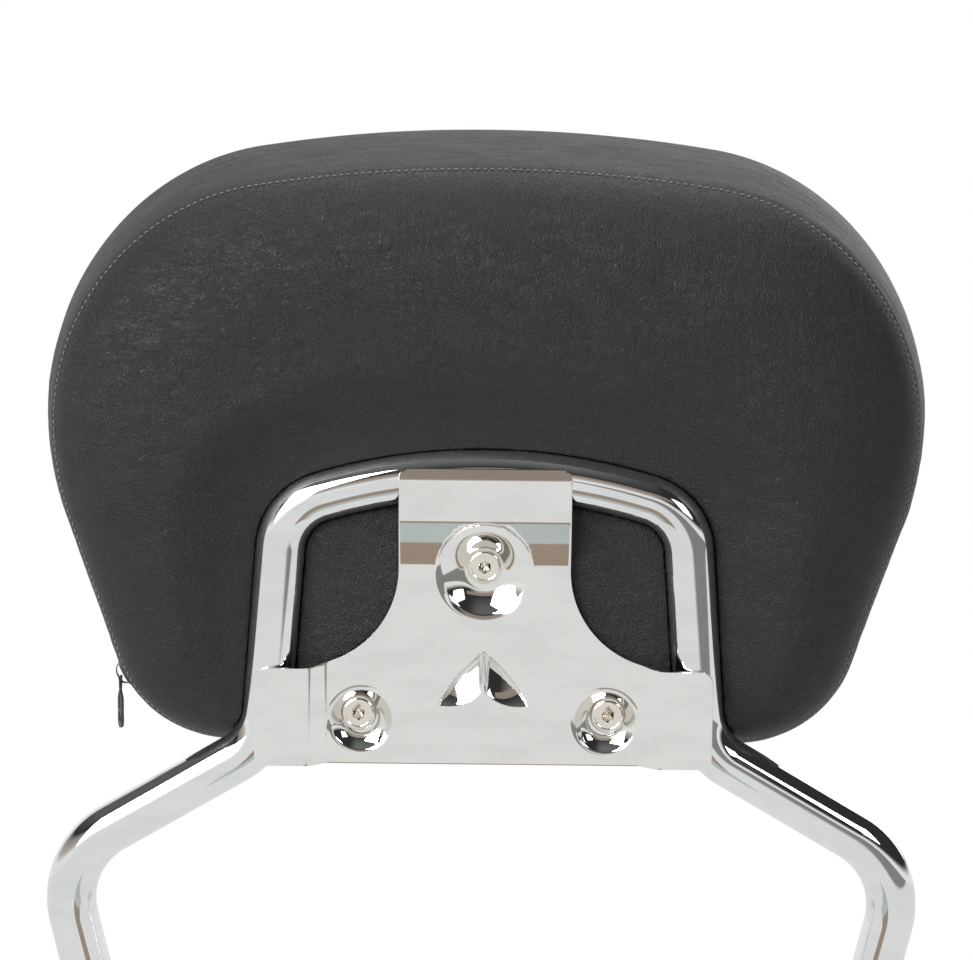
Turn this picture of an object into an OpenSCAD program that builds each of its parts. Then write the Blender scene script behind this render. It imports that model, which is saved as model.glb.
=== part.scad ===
// Passenger backrest hoop for a motorcycle: a bent chromed tube on two flat side plates,
// a stamped bracket hooked over the tube, and a sewn pad screwed to the bracket.
//
// Axes: X to the right seen from behind, Y forwards, Z up. The origin lies midway between
// the side plates on the axis of their rear bolt holes. The hoop, bracket and pad are drawn
// flat, in u (right), v (up along the hoop) and w (out of the hoop towards the back), and
// lean() then tips that flat drawing back about the bolt axis.

/* [Tube] */
// Outer diameter of the tube
tube_d = 19; // [16:0.5:22]
// Wall of the tube
tube_wall = 2; // [1.5:0.1:3]
// Backward lean of the hoop over the side plates, degrees
lean_angle = 12; // [0:1:20]
// Radius of the gentle crown at the top, on the centre line
crown_r = 212; // [200:1:230]
// Half of the crown's arc, degrees
crown_sweep = 17; // [16:0.2:18]
// Radius of the two top corners
corner_r = 22; // [20:1:25]
// Outward flare of the uprights, degrees
upright_flare = 4.5; // [3:0.5:6]
// Straight length of an upright
upright_l = 64; // [60:1:72]
// Radius of the bend from upright to shoulder
shoulder_r = 25; // [22:1:30]
// Fall of the shoulder below level, degrees
shoulder_fall = 30.5; // [25:0.5:35]
// Straight length of a shoulder
shoulder_l = 55; // [45:1:65]
// Radius of the bend from shoulder to leg
elbow_r = 33; // [30:1:40]
// Inward slant of the legs, degrees
leg_slant = 13; // [8:0.5:15]
// Straight length of a leg
leg_l = 45; // [30:1:70]
// Radius of the last bend, above the side plate
foot_r = 40; // [35:1:60]
// Straight length of the slotted tube end
foot_l = 27; // [24:1:40]

/* [Side plates] */
// Thickness of a side plate
plate_t = 6; // [4:0.5:8]
// Height of a side plate
plate_h = 38; // [34:1:44]
// Distance between the two bolt holes of a side plate
hole_pitch = 100; // [80:1:130]
// Diameter of the bolt holes
hole_d = 8.5; // [6.5:0.1:10.5]
// Height of the tube's end above the bolt axis
tongue_rise = 34; // [30:1:45]
// Length of the plate's tongue inside the tube
tongue_in = 18; // [12:1:22]
// Width of the plate's tongue
tongue_w = 24; // [20:0.5:30]

/* [Bracket] */
// Thickness of the bracket's sheet
sheet_t = 2; // [1.5:0.1:2.5]
// Depth from the flaps down to the middle panel
panel_drop = 5; // [4:0.5:6]
// Width of the top tab
tab_w = 65; // [55:1:75]
// Height of the tab's upper edge over the crown's centre line
tab_over = 3.6; // [2.5:0.1:5]
// Overhang of the side flaps beyond the uprights' centre line
flap_over = 4.5; // [3:0.5:7]
// Height of the side flaps
flap_h = 38; // [34:1:42]
// Radius of the two hollow curves between tab and flaps
waist_r = 38; // [34:1:41]
// Distance between the lower screws
screw_pitch = 95; // [90:1:100]
// Height of the top screw above the lower ones
screw_rise = 57.5; // [55:0.5:60]
// Rim diameter of the lower dishes
dish_d = 26; // [25:0.5:30]
// Rim diameter of the top dish
top_dish_d = 37; // [32:0.5:40]
// Depth of the dishes
dish_depth = 6; // [5:0.25:6.5]

/* [Screws] */
// Diameter of the screws' threads
screw_d = 8; // [6:0.5:8]
// Diameter of the screws' heads
head_d = 14; // [12:0.5:14.5]
// Height of the screws' heads
head_h = 4.4; // [3.5:0.1:5]
// Width across flats of the hexagon socket
socket_af = 5; // [4:0.5:5.5]

/* [Pad] */
// Height of the pad's back outline
pad_h = 220; // [214:1:226]
// Radius of the pad's top edge
pad_top_r = 560; // [520:5:620]
// Radius of the pad's upper corners
pad_corner_r = 92; // [88:1:96]
// Inward slope of the pad's sides, degrees
pad_side_slope = 19; // [17:0.5:21]
// Radius of the pad's lower corners
pad_foot_r = 44; // [42:1:48]
// Thickness of the side band
band_h = 50; // [46:1:60]
// How much wider the front outline is than the back one, on each side
pad_flare = 9; // [4:0.5:12]
// Rise of the crowned front face
front_crown = 18; // [12:1:26]
// Height of the puffed back panel over its seam
back_puff = 16.5; // [14:0.5:16.5]
// Thickness of the cover with its bonded lining
cover_t = 3; // [2:0.5:4]
// Thickness of the base board
board_t = 8; // [6:0.5:9]

/* [Zip] */
// Distance of the zip's middle from the back seam
zip_in = 15; // [14.5:0.5:20]
// Width of one tape
tape_w = 6.5; // [5.5:0.5:7.5]
// Width of one row of teeth
teeth_w = 1.6; // [1.2:0.1:2]
// Height of the teeth over the tapes
teeth_h = 1.4; // [1:0.1:2]
// Length of the slider
slider_l = 9; // [8:0.5:12]
// Length of the pull
pull_l = 20; // [16:0.5:26]

/* [Hidden] */
$fn = 48;

tube_r = tube_d / 2;
// Gap between pieces that are pushed together
seat_gap = 0.3;
// Overshoot of a cutting shape past the face it opens
cut = 1;

// Height of the crown's centre line in the flat drawing
crown_v = 64.5;

// One side of the tube as [turn in degrees, radius], or [0, length] where it is straight.
// Positive turns are clockwise seen from behind.
tube_run = [
    [crown_sweep, crown_r],
    [90 - upright_flare - crown_sweep, corner_r],
    [0, upright_l],
    [-(90 - upright_flare - shoulder_fall), shoulder_r],
    [0, shoulder_l],
    [90 + leg_slant - shoulder_fall, elbow_r],
    [0, leg_l],
    [-leg_slant, foot_r],
    [0, foot_l]
];

// Point and heading after the first n pieces of the tube, headings clockwise from right
function walk(n) = n == 0 ? [0, crown_v, 0] : step_on(walk(n - 1), tube_run[n - 1]);
function step_on(at, piece) =
    piece[0] == 0
    ? [at[0] + piece[1] * cos(at[2]), at[1] - piece[1] * sin(at[2]), at[2]]
    : arc_on(at, abs(piece[0]), piece[1], sign(piece[0]));
function arc_on(at, turn, r, side) = [
    at[0] + side * r * (sin(at[2] + side * turn) - sin(at[2])),
    at[1] + side * r * (cos(at[2] + side * turn) - cos(at[2])),
    at[2] + side * turn
];

upright_top = walk(2);
foot_end = walk(len(tube_run));
foot_u = foot_end[0];
rise = tongue_rise - foot_end[1];

// Distance of an upright's centre line from the middle at height v
function upright_u(v) = upright_top[0] + (upright_top[1] - v) * tan(upright_flare);

// Heights of the bracket's faces and edges in the flat drawing
flap_w0 = tube_r + seat_gap;
panel_w0 = flap_w0 - panel_drop;
panel_w1 = panel_w0 + sheet_t;
tab_top_v = crown_v + tab_over;
tab_skirt = 7;
tab_slope_l = 19.5;
tab_flat_v = crown_v - tube_r - tab_skirt;
panel_top_v = tab_flat_v - tab_slope_l;
flap_top_v = -9.2;
flap_bottom_v = flap_top_v - flap_h;
flap_u = upright_u((flap_top_v + flap_bottom_v) / 2) + flap_over;
flap_flat_l = 19.5;
flap_step_l = 9;
flap_flat_u = flap_u - flap_flat_l;
flap_bend_u = flap_flat_u - flap_step_l;
flap_corner_r = 4.5;
tab_corner_r = 3;

// Places of the screws and dishes: the dishes sit a little lower than the screws
screw_low_v = -28;
screw_spots = [
    [0, screw_low_v + screw_rise],
    [-screw_pitch / 2, screw_low_v],
    [screw_pitch / 2, screw_low_v]
];
dish_shift = [[0, -2.1], [1, -2.1], [-1, -2.1]];
dish_rims = [top_dish_d / 2, dish_d / 2, dish_d / 2];
dish_floor_w = panel_w1 - dish_depth;
dish_floor_margin = 2.6;
dish_floor_r = head_d / 2 + dish_floor_margin;
shank_gap = 0.4;

// Chevron pressed into the panel: two tapering grooves that meet at the top
chevron_top = [0, -9.3];
chevron_tip = [16, -23];
chevron_r = 4.4;
chevron_tip_r = 1.9;
chevron_lift = 1.5;

// Pad levels along w
board_gap = 2.5;
back_seam_w = -tube_r - board_gap;
front_seam_w = back_seam_w - band_h;
back_face_w = back_seam_w + back_puff;
board_w0 = back_seam_w - board_t;
pad_under = 14.2;
pad_bottom_v = screw_low_v - pad_under;
pad_top_v = pad_bottom_v + pad_h;

// Half outline of the pad as arcs [start heading, end heading, radius, corner points]
top_sweep = 9;
side_r = 115;
side_heading = 90 + pad_side_slope;
top_arc_c = [0, pad_top_v - pad_top_r];
corner_c = [
    (pad_top_r - pad_corner_r) * sin(top_sweep),
    top_arc_c[1] + (pad_top_r - pad_corner_r) * cos(top_sweep)
];
side_c = [corner_c[0] + pad_corner_r - side_r, corner_c[1]];
side_end = [side_c[0] + side_r * sin(side_heading), side_c[1] + side_r * cos(side_heading)];
foot_c_v = pad_bottom_v + pad_foot_r;
side_drop = side_end[1] - (foot_c_v + pad_foot_r * cos(side_heading));
foot_c = [
    side_end[0] - side_drop * tan(pad_side_slope) - pad_foot_r * sin(side_heading),
    foot_c_v
];

// Points of an arc about c, from one heading to another, radius r, in n steps
function arc(c, a0, a1, r, n) = [
    for (k = [0:n])
        let (a = a0 + (a1 - a0) * k / n)
        [c[0] + r * sin(a), c[1] + r * cos(a)]
];

// Point on the straight side, zip_tail above the lower corner's arc
zip_tail = 8;
function zip_end_point(g) = side_point(g, zip_tail);
function side_point(g, t) = [
    foot_c[0] + (pad_foot_r + g) * sin(side_heading) + t * sin(pad_side_slope),
    foot_c[1] + (pad_foot_r + g) * cos(side_heading) + t * cos(pad_side_slope)
];

// Right half of the pad's outline, moved outwards by g, from top middle to bottom middle
function pad_half(g) = concat(
    [for (k = [0:4]) arc(top_arc_c, 0, top_sweep, pad_top_r + g, 5)[k]],
    [for (k = [0:8]) arc(corner_c, top_sweep, 90, pad_corner_r + g, 9)[k]],
    arc(side_c, 90, side_heading, side_r + g, 3),
    [zip_end_point(g)],
    arc(foot_c, side_heading, 180, pad_foot_r + g, 8),
    [[foot_c[0] / 2, foot_c_v - pad_foot_r - g]]
);
// Whole outline, clockwise seen from behind, from top middle
function pad_outline(g) = concat(
    pad_half(g),
    [[0, foot_c_v - pad_foot_r - g]],
    [for (k = [len(pad_half(g)) - 1:-1:1]) [-pad_half(g)[k][0], pad_half(g)[k][1]]]
);
outline_n = len(pad_outline(0));

// Growth of the outline at depth w through the flaring side band
function flare_at(w) = pad_flare * (back_seam_w - w) / band_h;

// A closed ring of the pad's outline at height w, grown by g
function ring(g, w) = [for (p = pad_outline(g)) [p[0], p[1], w]];
// The same, drawn in about the pad's middle by factor s
function inner_ring(g, w, s) = let (m = (pad_top_v + pad_bottom_v) / 2)
    [for (p = pad_outline(g)) [p[0] * s, m + (p[1] - m) * s, w]];

// Solid skin over a stack of closed rings with equal point counts. Its ends are capped, or
// its last ring joins its first one when it is looped.
module skin(rings, looped = false) {
    n = len(rings[0]);
    m = len(rings);
    points = [for (r = rings) each r];
    spans = looped ? m - 1 : m - 2;
    sides = [
        for (j = [0:spans]) for (k = [0:n - 1])
            let (next = ((j + 1) % m) * n, k1 = (k + 1) % n)
            each [[j * n + k, next + k, next + k1], [j * n + k, next + k1, j * n + k1]]
    ];
    caps = looped ? [] : [[for (k = [0:n - 1]) k], [for (k = [n - 1:-1:0]) (m - 1) * n + k]];
    polyhedron(points, concat(sides, caps));
}

// Tips the flat drawing (u, v, w) back over the bolt axis
module lean() {
    rotate([lean_angle, 0, 0])
        translate([0, 0, rise])
            rotate([90, 0, 0])
                children();
}

// Stations [u, v, heading] down the right side of the tube, each arc in steps of a few degrees
arc_step = 8;
function piece_stations(i) = let (at = walk(i), piece = tube_run[i])
    piece[0] == 0
    ? [at]
    : let (n = ceil(abs(piece[0]) / arc_step))
      [for (k = [0:n - 1]) arc_on(at, abs(piece[0]) * k / n, piece[1], sign(piece[0]))];
half_stations = [for (i = [0:len(tube_run) - 1]) each piece_stations(i)];

// The whole tube's stations from left foot to right foot, both feet lengthened by extra
function stations(extra) = let (
    foot = [foot_end[0], foot_end[1] - extra, foot_end[2]],
    right = concat(half_stations, [foot])
) concat([for (k = [len(right) - 1:-1:1]) [-right[k][0], right[k][1], -right[k][2]]], right);

// Circles of radius r about the stations, each square to the tube's heading
tube_sides = 24;
function tube_rings(r, extra) = [
    for (s = stations(extra)) [
        for (k = [0:tube_sides - 1])
            let (a = 360 * k / tube_sides)
            [s[0] + r * cos(a) * sin(s[2]), s[1] + r * cos(a) * cos(s[2]), r * sin(a)]
    ]
];

module frame_tube() {
    outer = tube_rings(tube_r, 0);
    inner = tube_rings(tube_r - tube_wall, 0);
    color([0.86, 0.87, 0.88])
        lean()
            difference() {
                skin(concat([for (k = [len(inner) - 1:-1:0]) inner[k]], outer), looped = true);
                for (s = [-1, 1])
                    translate([s * foot_u, foot_end[1] + tongue_in / 2 - cut, 0])
                        cube([plate_t, tongue_in + 2 * cut, tube_d + 2 * cut], center = true);
            }
}

// Outline of a side plate in Y and Z: a bar with round ends, and its two holes
module plate_bar() {
    r = plate_h / 2;
    outline = concat(
        [for (k = [0:12]) [-r * sin(15 * k), r * cos(15 * k)]],
        [for (k = [0:12]) [hole_pitch + r * sin(15 * k), -r * cos(15 * k)]]
    );
    polygon(outline);
}

module side_plate(s) {
    color([0.83, 0.84, 0.85])
        difference() {
            union() {
                translate([s * foot_u - plate_t / 2, 0, 0])
                    rotate([90, 0, 90])
                        linear_extrude(plate_t)
                            plate_bar();
                rotate([lean_angle, 0, 0])
                    translate([s * foot_u - plate_t / 2, -tongue_w / 2, 0])
                        cube([plate_t, tongue_w, tongue_rise + tongue_in]);
            }
            for (y = [0, hole_pitch])
                translate([s * foot_u, y, 0])
                    rotate([0, 90, 0])
                        cylinder(h = plate_t + 2 * cut, d = hole_d, center = true);
        }
}

// Rounded bead that closes the open tube end on both faces of the plate
weld_h = 7;
module end_weld(s) {
    color([0.8, 0.81, 0.82])
        lean()
            translate([s * foot_u, foot_end[1], 0])
                rotate([90, 0, 0])
                    difference() {
                        rotate_extrude()
                            polygon(concat(
                                [[0, 0]],
                                [for (k = [0:6]) [tube_r * cos(15 * k), weld_h * sin(15 * k)]]
                            ));
                        cube([plate_t, tube_d, 3 * tube_d], center = true);
                    }
}

// Right half of the bracket's outline in u and v, from bottom middle to top middle
function bracket_half() = concat(
    [[0, flap_bottom_v]],
    [for (a = [180:-15:90])
        [flap_u - flap_corner_r + flap_corner_r * sin(a),
         flap_bottom_v + flap_corner_r + flap_corner_r * cos(a)]],
    [for (a = [90:-15:0])
        [flap_u - flap_corner_r + flap_corner_r * sin(a),
         flap_top_v - flap_corner_r + flap_corner_r * cos(a)]],
    [for (a = [180:7.5:270])
        [tab_w / 2 + waist_r + waist_r * sin(a), flap_top_v + waist_r + waist_r * cos(a)]],
    [for (a = [90:-15:0])
        [tab_w / 2 - tab_corner_r + tab_corner_r * sin(a),
         tab_top_v - tab_corner_r + tab_corner_r * cos(a)]],
    [[0, tab_top_v]]
);

module bracket_outline() {
    half = bracket_half();
    polygon(concat(half, [for (k = [len(half) - 2:-1:1]) [-half[k][0], half[k][1]]]));
}

// Front face of the sheet across the side flaps, as [u, w]
function flap_profile() = concat(
    [for (k = [0:8])
        let (s = k / 8)
        [flap_bend_u + (flap_flat_u - flap_bend_u) * s, panel_w0 + panel_drop * s * s * (3 - 2 * s)]],
    [[flap_u + cut, flap_w0]]
);

// Front face of the sheet up the top tab, as [v, w]
function tab_profile() = concat(
    [for (k = [0:8])
        let (s = k / 8)
        [panel_top_v + (tab_flat_v - panel_top_v) * s, panel_w0 + panel_drop * pow(s, 1.8)]],
    [[tab_top_v + cut, flap_w0]]
);

// Back face up the tab, whose upper edge is rounded over
tab_round = 4.6;
tab_lip = 0.2;
function tab_back() = concat(
    [for (p = tab_profile()) if (p[0] <= tab_flat_v) [p[0], p[1] + sheet_t]],
    [for (a = [0:15:75])
        [tab_top_v - tab_round * (1 - sin(a)), flap_w0 + tab_lip + (sheet_t - tab_lip) * cos(a)]],
    [[tab_top_v + cut, flap_w0 + tab_lip]]
);

// The sheet bent along its flaps and tab, before its outline is cut
module formed_sheet() {
    side = flap_profile();
    mirrored = [for (k = [len(side) - 1:-1:0]) [-side[k][0], side[k][1]]];
    front = concat(mirrored, side);
    back = [for (k = [len(front) - 1:-1:0]) [front[k][0], front[k][1] + sheet_t]];
    translate([0, panel_top_v, 0])
        rotate([90, 0, 0])
            linear_extrude(panel_top_v - flap_bottom_v + cut)
                polygon(concat(front, back));
    tab = tab_profile();
    tab_rear = tab_back();
    translate([-flap_u, 0, 0])
        rotate([90, 0, 90])
            linear_extrude(2 * flap_u)
                polygon(concat(tab, [for (k = [len(tab_rear) - 1:-1:0]) tab_rear[k]]));
}

// All that lies in front of the sheet's back face above the panel
module below_sheet() {
    rear = tab_back();
    translate([-tab_w / 2, 0, 0])
        rotate([90, 0, 90])
            linear_extrude(tab_w)
                polygon(concat(
                    [[flap_bottom_v, -tube_r], [flap_bottom_v, panel_w1]],
                    rear,
                    [[tab_top_v + cut, -tube_r]]
                ));
}

// Turned shape of a dish: a flat floor and a wall that curves up to the rim
module dish(floor_r, rim_r, floor_w, rim_w, top_w) {
    wall = [for (a = [0:15:90])
        [floor_r + (rim_r - floor_r) * sin(a), rim_w - (rim_w - floor_w) * cos(a)]];
    rotate_extrude()
        polygon(concat([[0, floor_w]], wall, [[rim_r, top_w], [0, top_w]]));
}

// Groove of the chevron with radius larger by grow
module chevron(grow) {
    d = chevron_tip - chevron_top;
    leg = norm(d);
    for (s = [0, 1])
        mirror([s, 0, 0])
            translate([chevron_top[0], chevron_top[1], panel_w1 + chevron_lift])
                rotate([0, 0, atan2(d[1], d[0])])
                    rotate([0, 90, 0])
                        cylinder(h = leg, r1 = chevron_r + grow, r2 = chevron_tip_r + grow);
}

module pad_bracket() {
    color([0.88, 0.88, 0.87])
        lean()
            difference() {
                union() {
                    intersection() {
                        formed_sheet();
                        linear_extrude(4 * tube_d)
                            bracket_outline();
                    }
                    intersection() {
                        union() {
                            dishes(sheet_t, panel_w1);
                            chevron(sheet_t);
                        }
                        union() {
                            below_sheet();
                            translate([-flap_bend_u, flap_bottom_v + cut, -tube_r])
                                cube([2 * flap_bend_u, panel_top_v - flap_bottom_v - cut,
                                      tube_r + panel_w1]);
                        }
                    }
                }
                dishes(0, panel_w1 + panel_drop + sheet_t);
                chevron(0);
                for (spot = screw_spots)
                    translate([spot[0], spot[1], dish_floor_w - sheet_t - cut])
                        cylinder(h = sheet_t + 2 * cut, r = screw_d / 2 + shank_gap);
            }
}

// The three dishes, grown by grow for the outside of the sheet
module dishes(grow, top_w) {
    for (k = [0:2])
        translate([screw_spots[k][0] + dish_shift[k][0], screw_spots[k][1] + dish_shift[k][1], 0])
            dish(dish_floor_r + grow / 2, dish_rims[k] + grow / 2, dish_floor_w - grow,
                 panel_w1 - grow, top_w);
}

// Button-head screw with its head's seat on the dish's floor
head_side = 0.45;
head_round = [0.92, 0.72];
head_face = 0.74;
socket_floor = 0.4;
screw_tail = 2;
module screw(k) {
    shank_l = dish_floor_w - board_w0 + nut_flange_t + screw_tail;
    color([0.9, 0.87, 0.8])
        lean()
            translate([screw_spots[k][0], screw_spots[k][1], dish_floor_w])
                difference() {
                    union() {
                        rotate_extrude()
                            polygon([
                                [0, 0], [head_d / 2, 0], [head_d / 2, head_h * head_side],
                                [head_round[0] * head_d / 2, head_h * head_round[1]],
                                [head_face * head_d / 2, head_h], [0, head_h]
                            ]);
                        translate([0, 0, -shank_l])
                            cylinder(h = shank_l, d = screw_d);
                    }
                    translate([0, 0, head_h * socket_floor])
                        cylinder(h = head_h, d = socket_af / cos(30), $fn = 6);
                }
}

nut_flange_t = 1.5;
nut_wall = 1.4;
nut_barrel_r = screw_d / 2 + nut_wall;
nut_flange_r = 11;
thread_gap = 0.05;

// Tee nut let into the front of the board
module tee_nut(k) {
    color([0.75, 0.75, 0.72])
        lean()
            translate([screw_spots[k][0], screw_spots[k][1], board_w0 - nut_flange_t])
                difference() {
                    union() {
                        cylinder(h = nut_flange_t, r = nut_flange_r);
                        cylinder(h = nut_flange_t + board_t - 1, r = nut_barrel_r);
                    }
                    translate([0, 0, -cut])
                        cylinder(h = board_t + nut_flange_t + 2 * cut, r = screw_d / 2 + thread_gap);
                }
}

module base_board() {
    color([0.55, 0.42, 0.28])
        lean()
            difference() {
                translate([0, 0, board_w0])
                    linear_extrude(board_t)
                        polygon(pad_outline(-cover_t - 1));
                for (spot = screw_spots)
                    translate([spot[0], spot[1], board_w0 - cut])
                        cylinder(h = board_t + 2 * cut, r = nut_barrel_r + thread_gap);
            }
}

// Rise of the crowned front face at an inset of g from its seam, and towards its middle
edge_insets = [0, 3, 8, 16, 27, 38];
edge_rises = [0, 0.22, 0.42, 0.62, 0.79, 0.89];
middle_scales = [0.7, 0.4, 0.02];
middle_rises = [0.96, 0.99, 1];

// Rings of the crowned front from its seam to its middle, set back by t
function crown_rings(t) = concat(
    [for (k = [0:5])
        ring(pad_flare - t - edge_insets[k] * (1 - t / 50),
             min(front_seam_w, front_seam_w + t - front_crown * edge_rises[k]))],
    [for (k = [0:2])
        inner_ring(pad_flare - t - edge_insets[5] * (1 - t / 50),
                   front_seam_w + t - front_crown * middle_rises[k], middle_scales[k])]
);

nut_room = 4;
foam_inset = 5;
module foam_core() {
    side_gap = cover_t + foam_inset;
    tail = crown_rings(cover_t + seat_gap);
    color([0.93, 0.88, 0.7])
        lean()
            difference() {
                skin(concat(
                    [ring(-side_gap + flare_at(board_w0), board_w0)],
                    [for (k = [2:len(tail) - 1]) tail[k]]
                ));
                for (spot = screw_spots)
                    translate([spot[0], spot[1], board_w0 - nut_flange_t - nut_room])
                        cylinder(h = nut_flange_t + nut_room + cut, r = nut_flange_r + seat_gap);
            }
}

module cover_front_panel() {
    outer = crown_rings(0);
    inner = crown_rings(cover_t);
    color([0.13, 0.13, 0.14])
        lean()
            skin(concat([for (k = [len(inner) - 1:-1:0]) inner[k]], outer));
}

// Height at which the band's opening for the zip ends on both sides
zip_gap_v = zip_end_point(0)[1] + 1.2;

// Stations of the outline between the two lower corners, where the zip runs
zip_first = 18;
zip_last = outline_n - zip_first;
zip_w = back_seam_w - zip_in;
zip_slit = 1;

// Wall along the outline from station i0 to i1, between depths w0 and w1, from g0 to g1
// outside the flaring band surface
module wall_piece(i0, i1, w0, w1, g0, g1) {
    a = pad_outline(flare_at(w0) + g0);
    b = pad_outline(flare_at(w0) + g1);
    c = pad_outline(flare_at(w1) + g1);
    d = pad_outline(flare_at(w1) + g0);
    skin([
        for (k = [i0:i1])
            [[a[k][0], a[k][1], w0], [b[k][0], b[k][1], w0], [c[k][0], c[k][1], w1], [d[k][0], d[k][1], w1]]
    ]);
}

module cover_side_band() {
    half_gap = zip_slit / 2 + tape_w;
    color([0.19, 0.19, 0.2])
        lean()
            difference() {
                skin([
                    ring(0, back_seam_w), ring(pad_flare, front_seam_w),
                    ring(pad_flare - cover_t, front_seam_w), ring(-cover_t, back_seam_w)
                ], looped = true);
                translate([-pad_top_r, zip_gap_v - pad_h, zip_w - half_gap])
                    cube([2 * pad_top_r, pad_h, 2 * half_gap]);
            }
}

// Puffed back panel with grooves for the tube and pockets for the bracket's dishes
puff_insets = [0, 1.5, 5, 11, 20, 30];
puff_rises = [0, 0.26, 0.5, 0.75, 0.93, 1];

module cover_back_panel() {
    color([0.12, 0.12, 0.13])
        lean()
            difference() {
                skin([
                    for (k = [5:-1:0])
                        ring(-puff_insets[k], back_seam_w + back_puff * puff_rises[k])
                ]);
                skin(tube_rings(tube_r + seat_gap, 0));
                dish_pockets();
            }
}

module dish_pockets() {
    for (k = [0:2])
        translate([screw_spots[k][0] + dish_shift[k][0], screw_spots[k][1] + dish_shift[k][1],
                   dish_floor_w - sheet_t - seat_gap])
            cylinder(h = tube_d, r = dish_rims[k] + sheet_t / 2 + seat_gap);
    for (spot = screw_spots)
        translate([spot[0], spot[1], back_seam_w - cut])
            cylinder(h = tube_d, r = screw_d / 2 + shank_gap);
    translate([-chevron_tip[0] - chevron_r, chevron_tip[1] - chevron_r - sheet_t,
               panel_w1 + chevron_lift - chevron_r - sheet_t - seat_gap])
        cube([2 * (chevron_tip[0] + chevron_r), chevron_top[1] - chevron_tip[1] + 2 * chevron_r
              + 2 * sheet_t, tube_d]);
}

// One tape: side 1 is the back one, side -1 the front one
tape_t = 1;
tape_sink = 1.4;
module zip_tape(side) {
    near = zip_w + side * zip_slit / 2;
    far = zip_w + side * (zip_slit / 2 + tape_w);
    color([0.08, 0.08, 0.09])
        lean()
            wall_piece(zip_first, zip_last, min(near, far), max(near, far),
                       -tape_sink - tape_t, -tape_sink);
}

module zip_teeth(side) {
    near = zip_w + side * zip_slit / 2;
    far = zip_w + side * (zip_slit / 2 + teeth_w);
    color([0.15, 0.15, 0.16])
        lean()
            wall_piece(zip_first + 1, zip_last - 1, min(near, far), max(near, far),
                       -tape_sink, -tape_sink + teeth_h);
}

// Stop on the tapes just above the last teeth on side s
stop_l = 2;
stop_drop = 3;
stop_lap = 0.5;
module zip_stop(s) {
    reach = teeth_w + zip_slit / 2 + stop_lap;
    color([0.2, 0.2, 0.21])
        lean()
            mirror([s < 0 ? 1 : 0, 0, 0])
                skin([
                    for (t = [zip_tail - stop_drop, zip_tail - stop_drop - stop_l]) [
                        for (c = [[-reach, 0], [reach, 0], [reach, teeth_h], [-reach, teeth_h]])
                            let (w = zip_w + c[0], p = side_point(flare_at(w) - tape_sink + c[1], t))
                            [p[0], p[1], w]
                    ]
                ]);
}

// The slider turns about the lower left corner's centre; its cross-section is given as
// [height over the band's surface, distance along w], sheared to the band's flare
slider_gap = 0.4;
slider_top = 1.8;
slider_turn = 9;
left_heading = 180;
slider_mid = left_heading + pad_side_slope + slider_turn;
slider_half_angle = atan(slider_l / 2 / (pad_foot_r + flare_at(zip_w)));
function slider_profile(points) = [
    for (p = points) [pad_foot_r + flare_at(zip_w + p[1]) + p[0], zip_w + p[1]]
];
module about_corner(a0, a1, points) {
    translate([-foot_c[0], foot_c[1], 0])
        rotate([0, 0, a0])
            rotate_extrude(angle = a1 - a0)
                polygon(slider_profile(points));
}

bridge_foot = 2.6;
bridge_end = 4.2;
bridge_w = 1;
bridge_rise = 2.6;
bridge_t = 1;
flange_gap = 0.6;
flange_t = 1.5;
flange_reach = 0.1;
neck_gap = 0.2;
slider_plate_t = 1;
bridge_root = 0.3;
module zip_slider() {
    teeth_reach = zip_slit / 2 + teeth_w;
    flange_0 = teeth_reach + flange_gap;
    flange_1 = flange_0 + flange_t;
    flange_low = slider_gap - teeth_h - flange_reach;
    neck = zip_slit / 2 - neck_gap;
    under_0 = -tape_sink - tape_t - slider_gap;
    under_1 = under_0 - slider_plate_t;
    low = slider_top - bridge_root;
    half = [
        [slider_top, flange_1], [flange_low, flange_1], [flange_low, flange_0],
        [slider_gap, flange_0], [slider_gap, neck], [under_0, neck], [under_0, flange_1 - flange_gap],
        [under_1, flange_1 - flange_gap]
    ];
    roof = slider_top + bridge_rise;
    color([0.1, 0.1, 0.11])
        lean() {
            about_corner(slider_mid - slider_half_angle, slider_mid + slider_half_angle,
                         concat(half, [for (k = [len(half) - 1:-1:0]) [half[k][0], -half[k][1]]]));
            for (s = [-1, 1])
                about_corner(slider_mid + min(s * bridge_foot, s * bridge_end),
                             slider_mid + max(s * bridge_foot, s * bridge_end),
                             [[low, -bridge_w], [roof, -bridge_w], [roof, bridge_w],
                              [low, bridge_w]]);
            about_corner(slider_mid - bridge_end, slider_mid + bridge_end,
                         [[roof, -bridge_w], [roof + bridge_t, -bridge_w],
                          [roof + bridge_t, bridge_w], [roof, bridge_w]]);
        }
}

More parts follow.
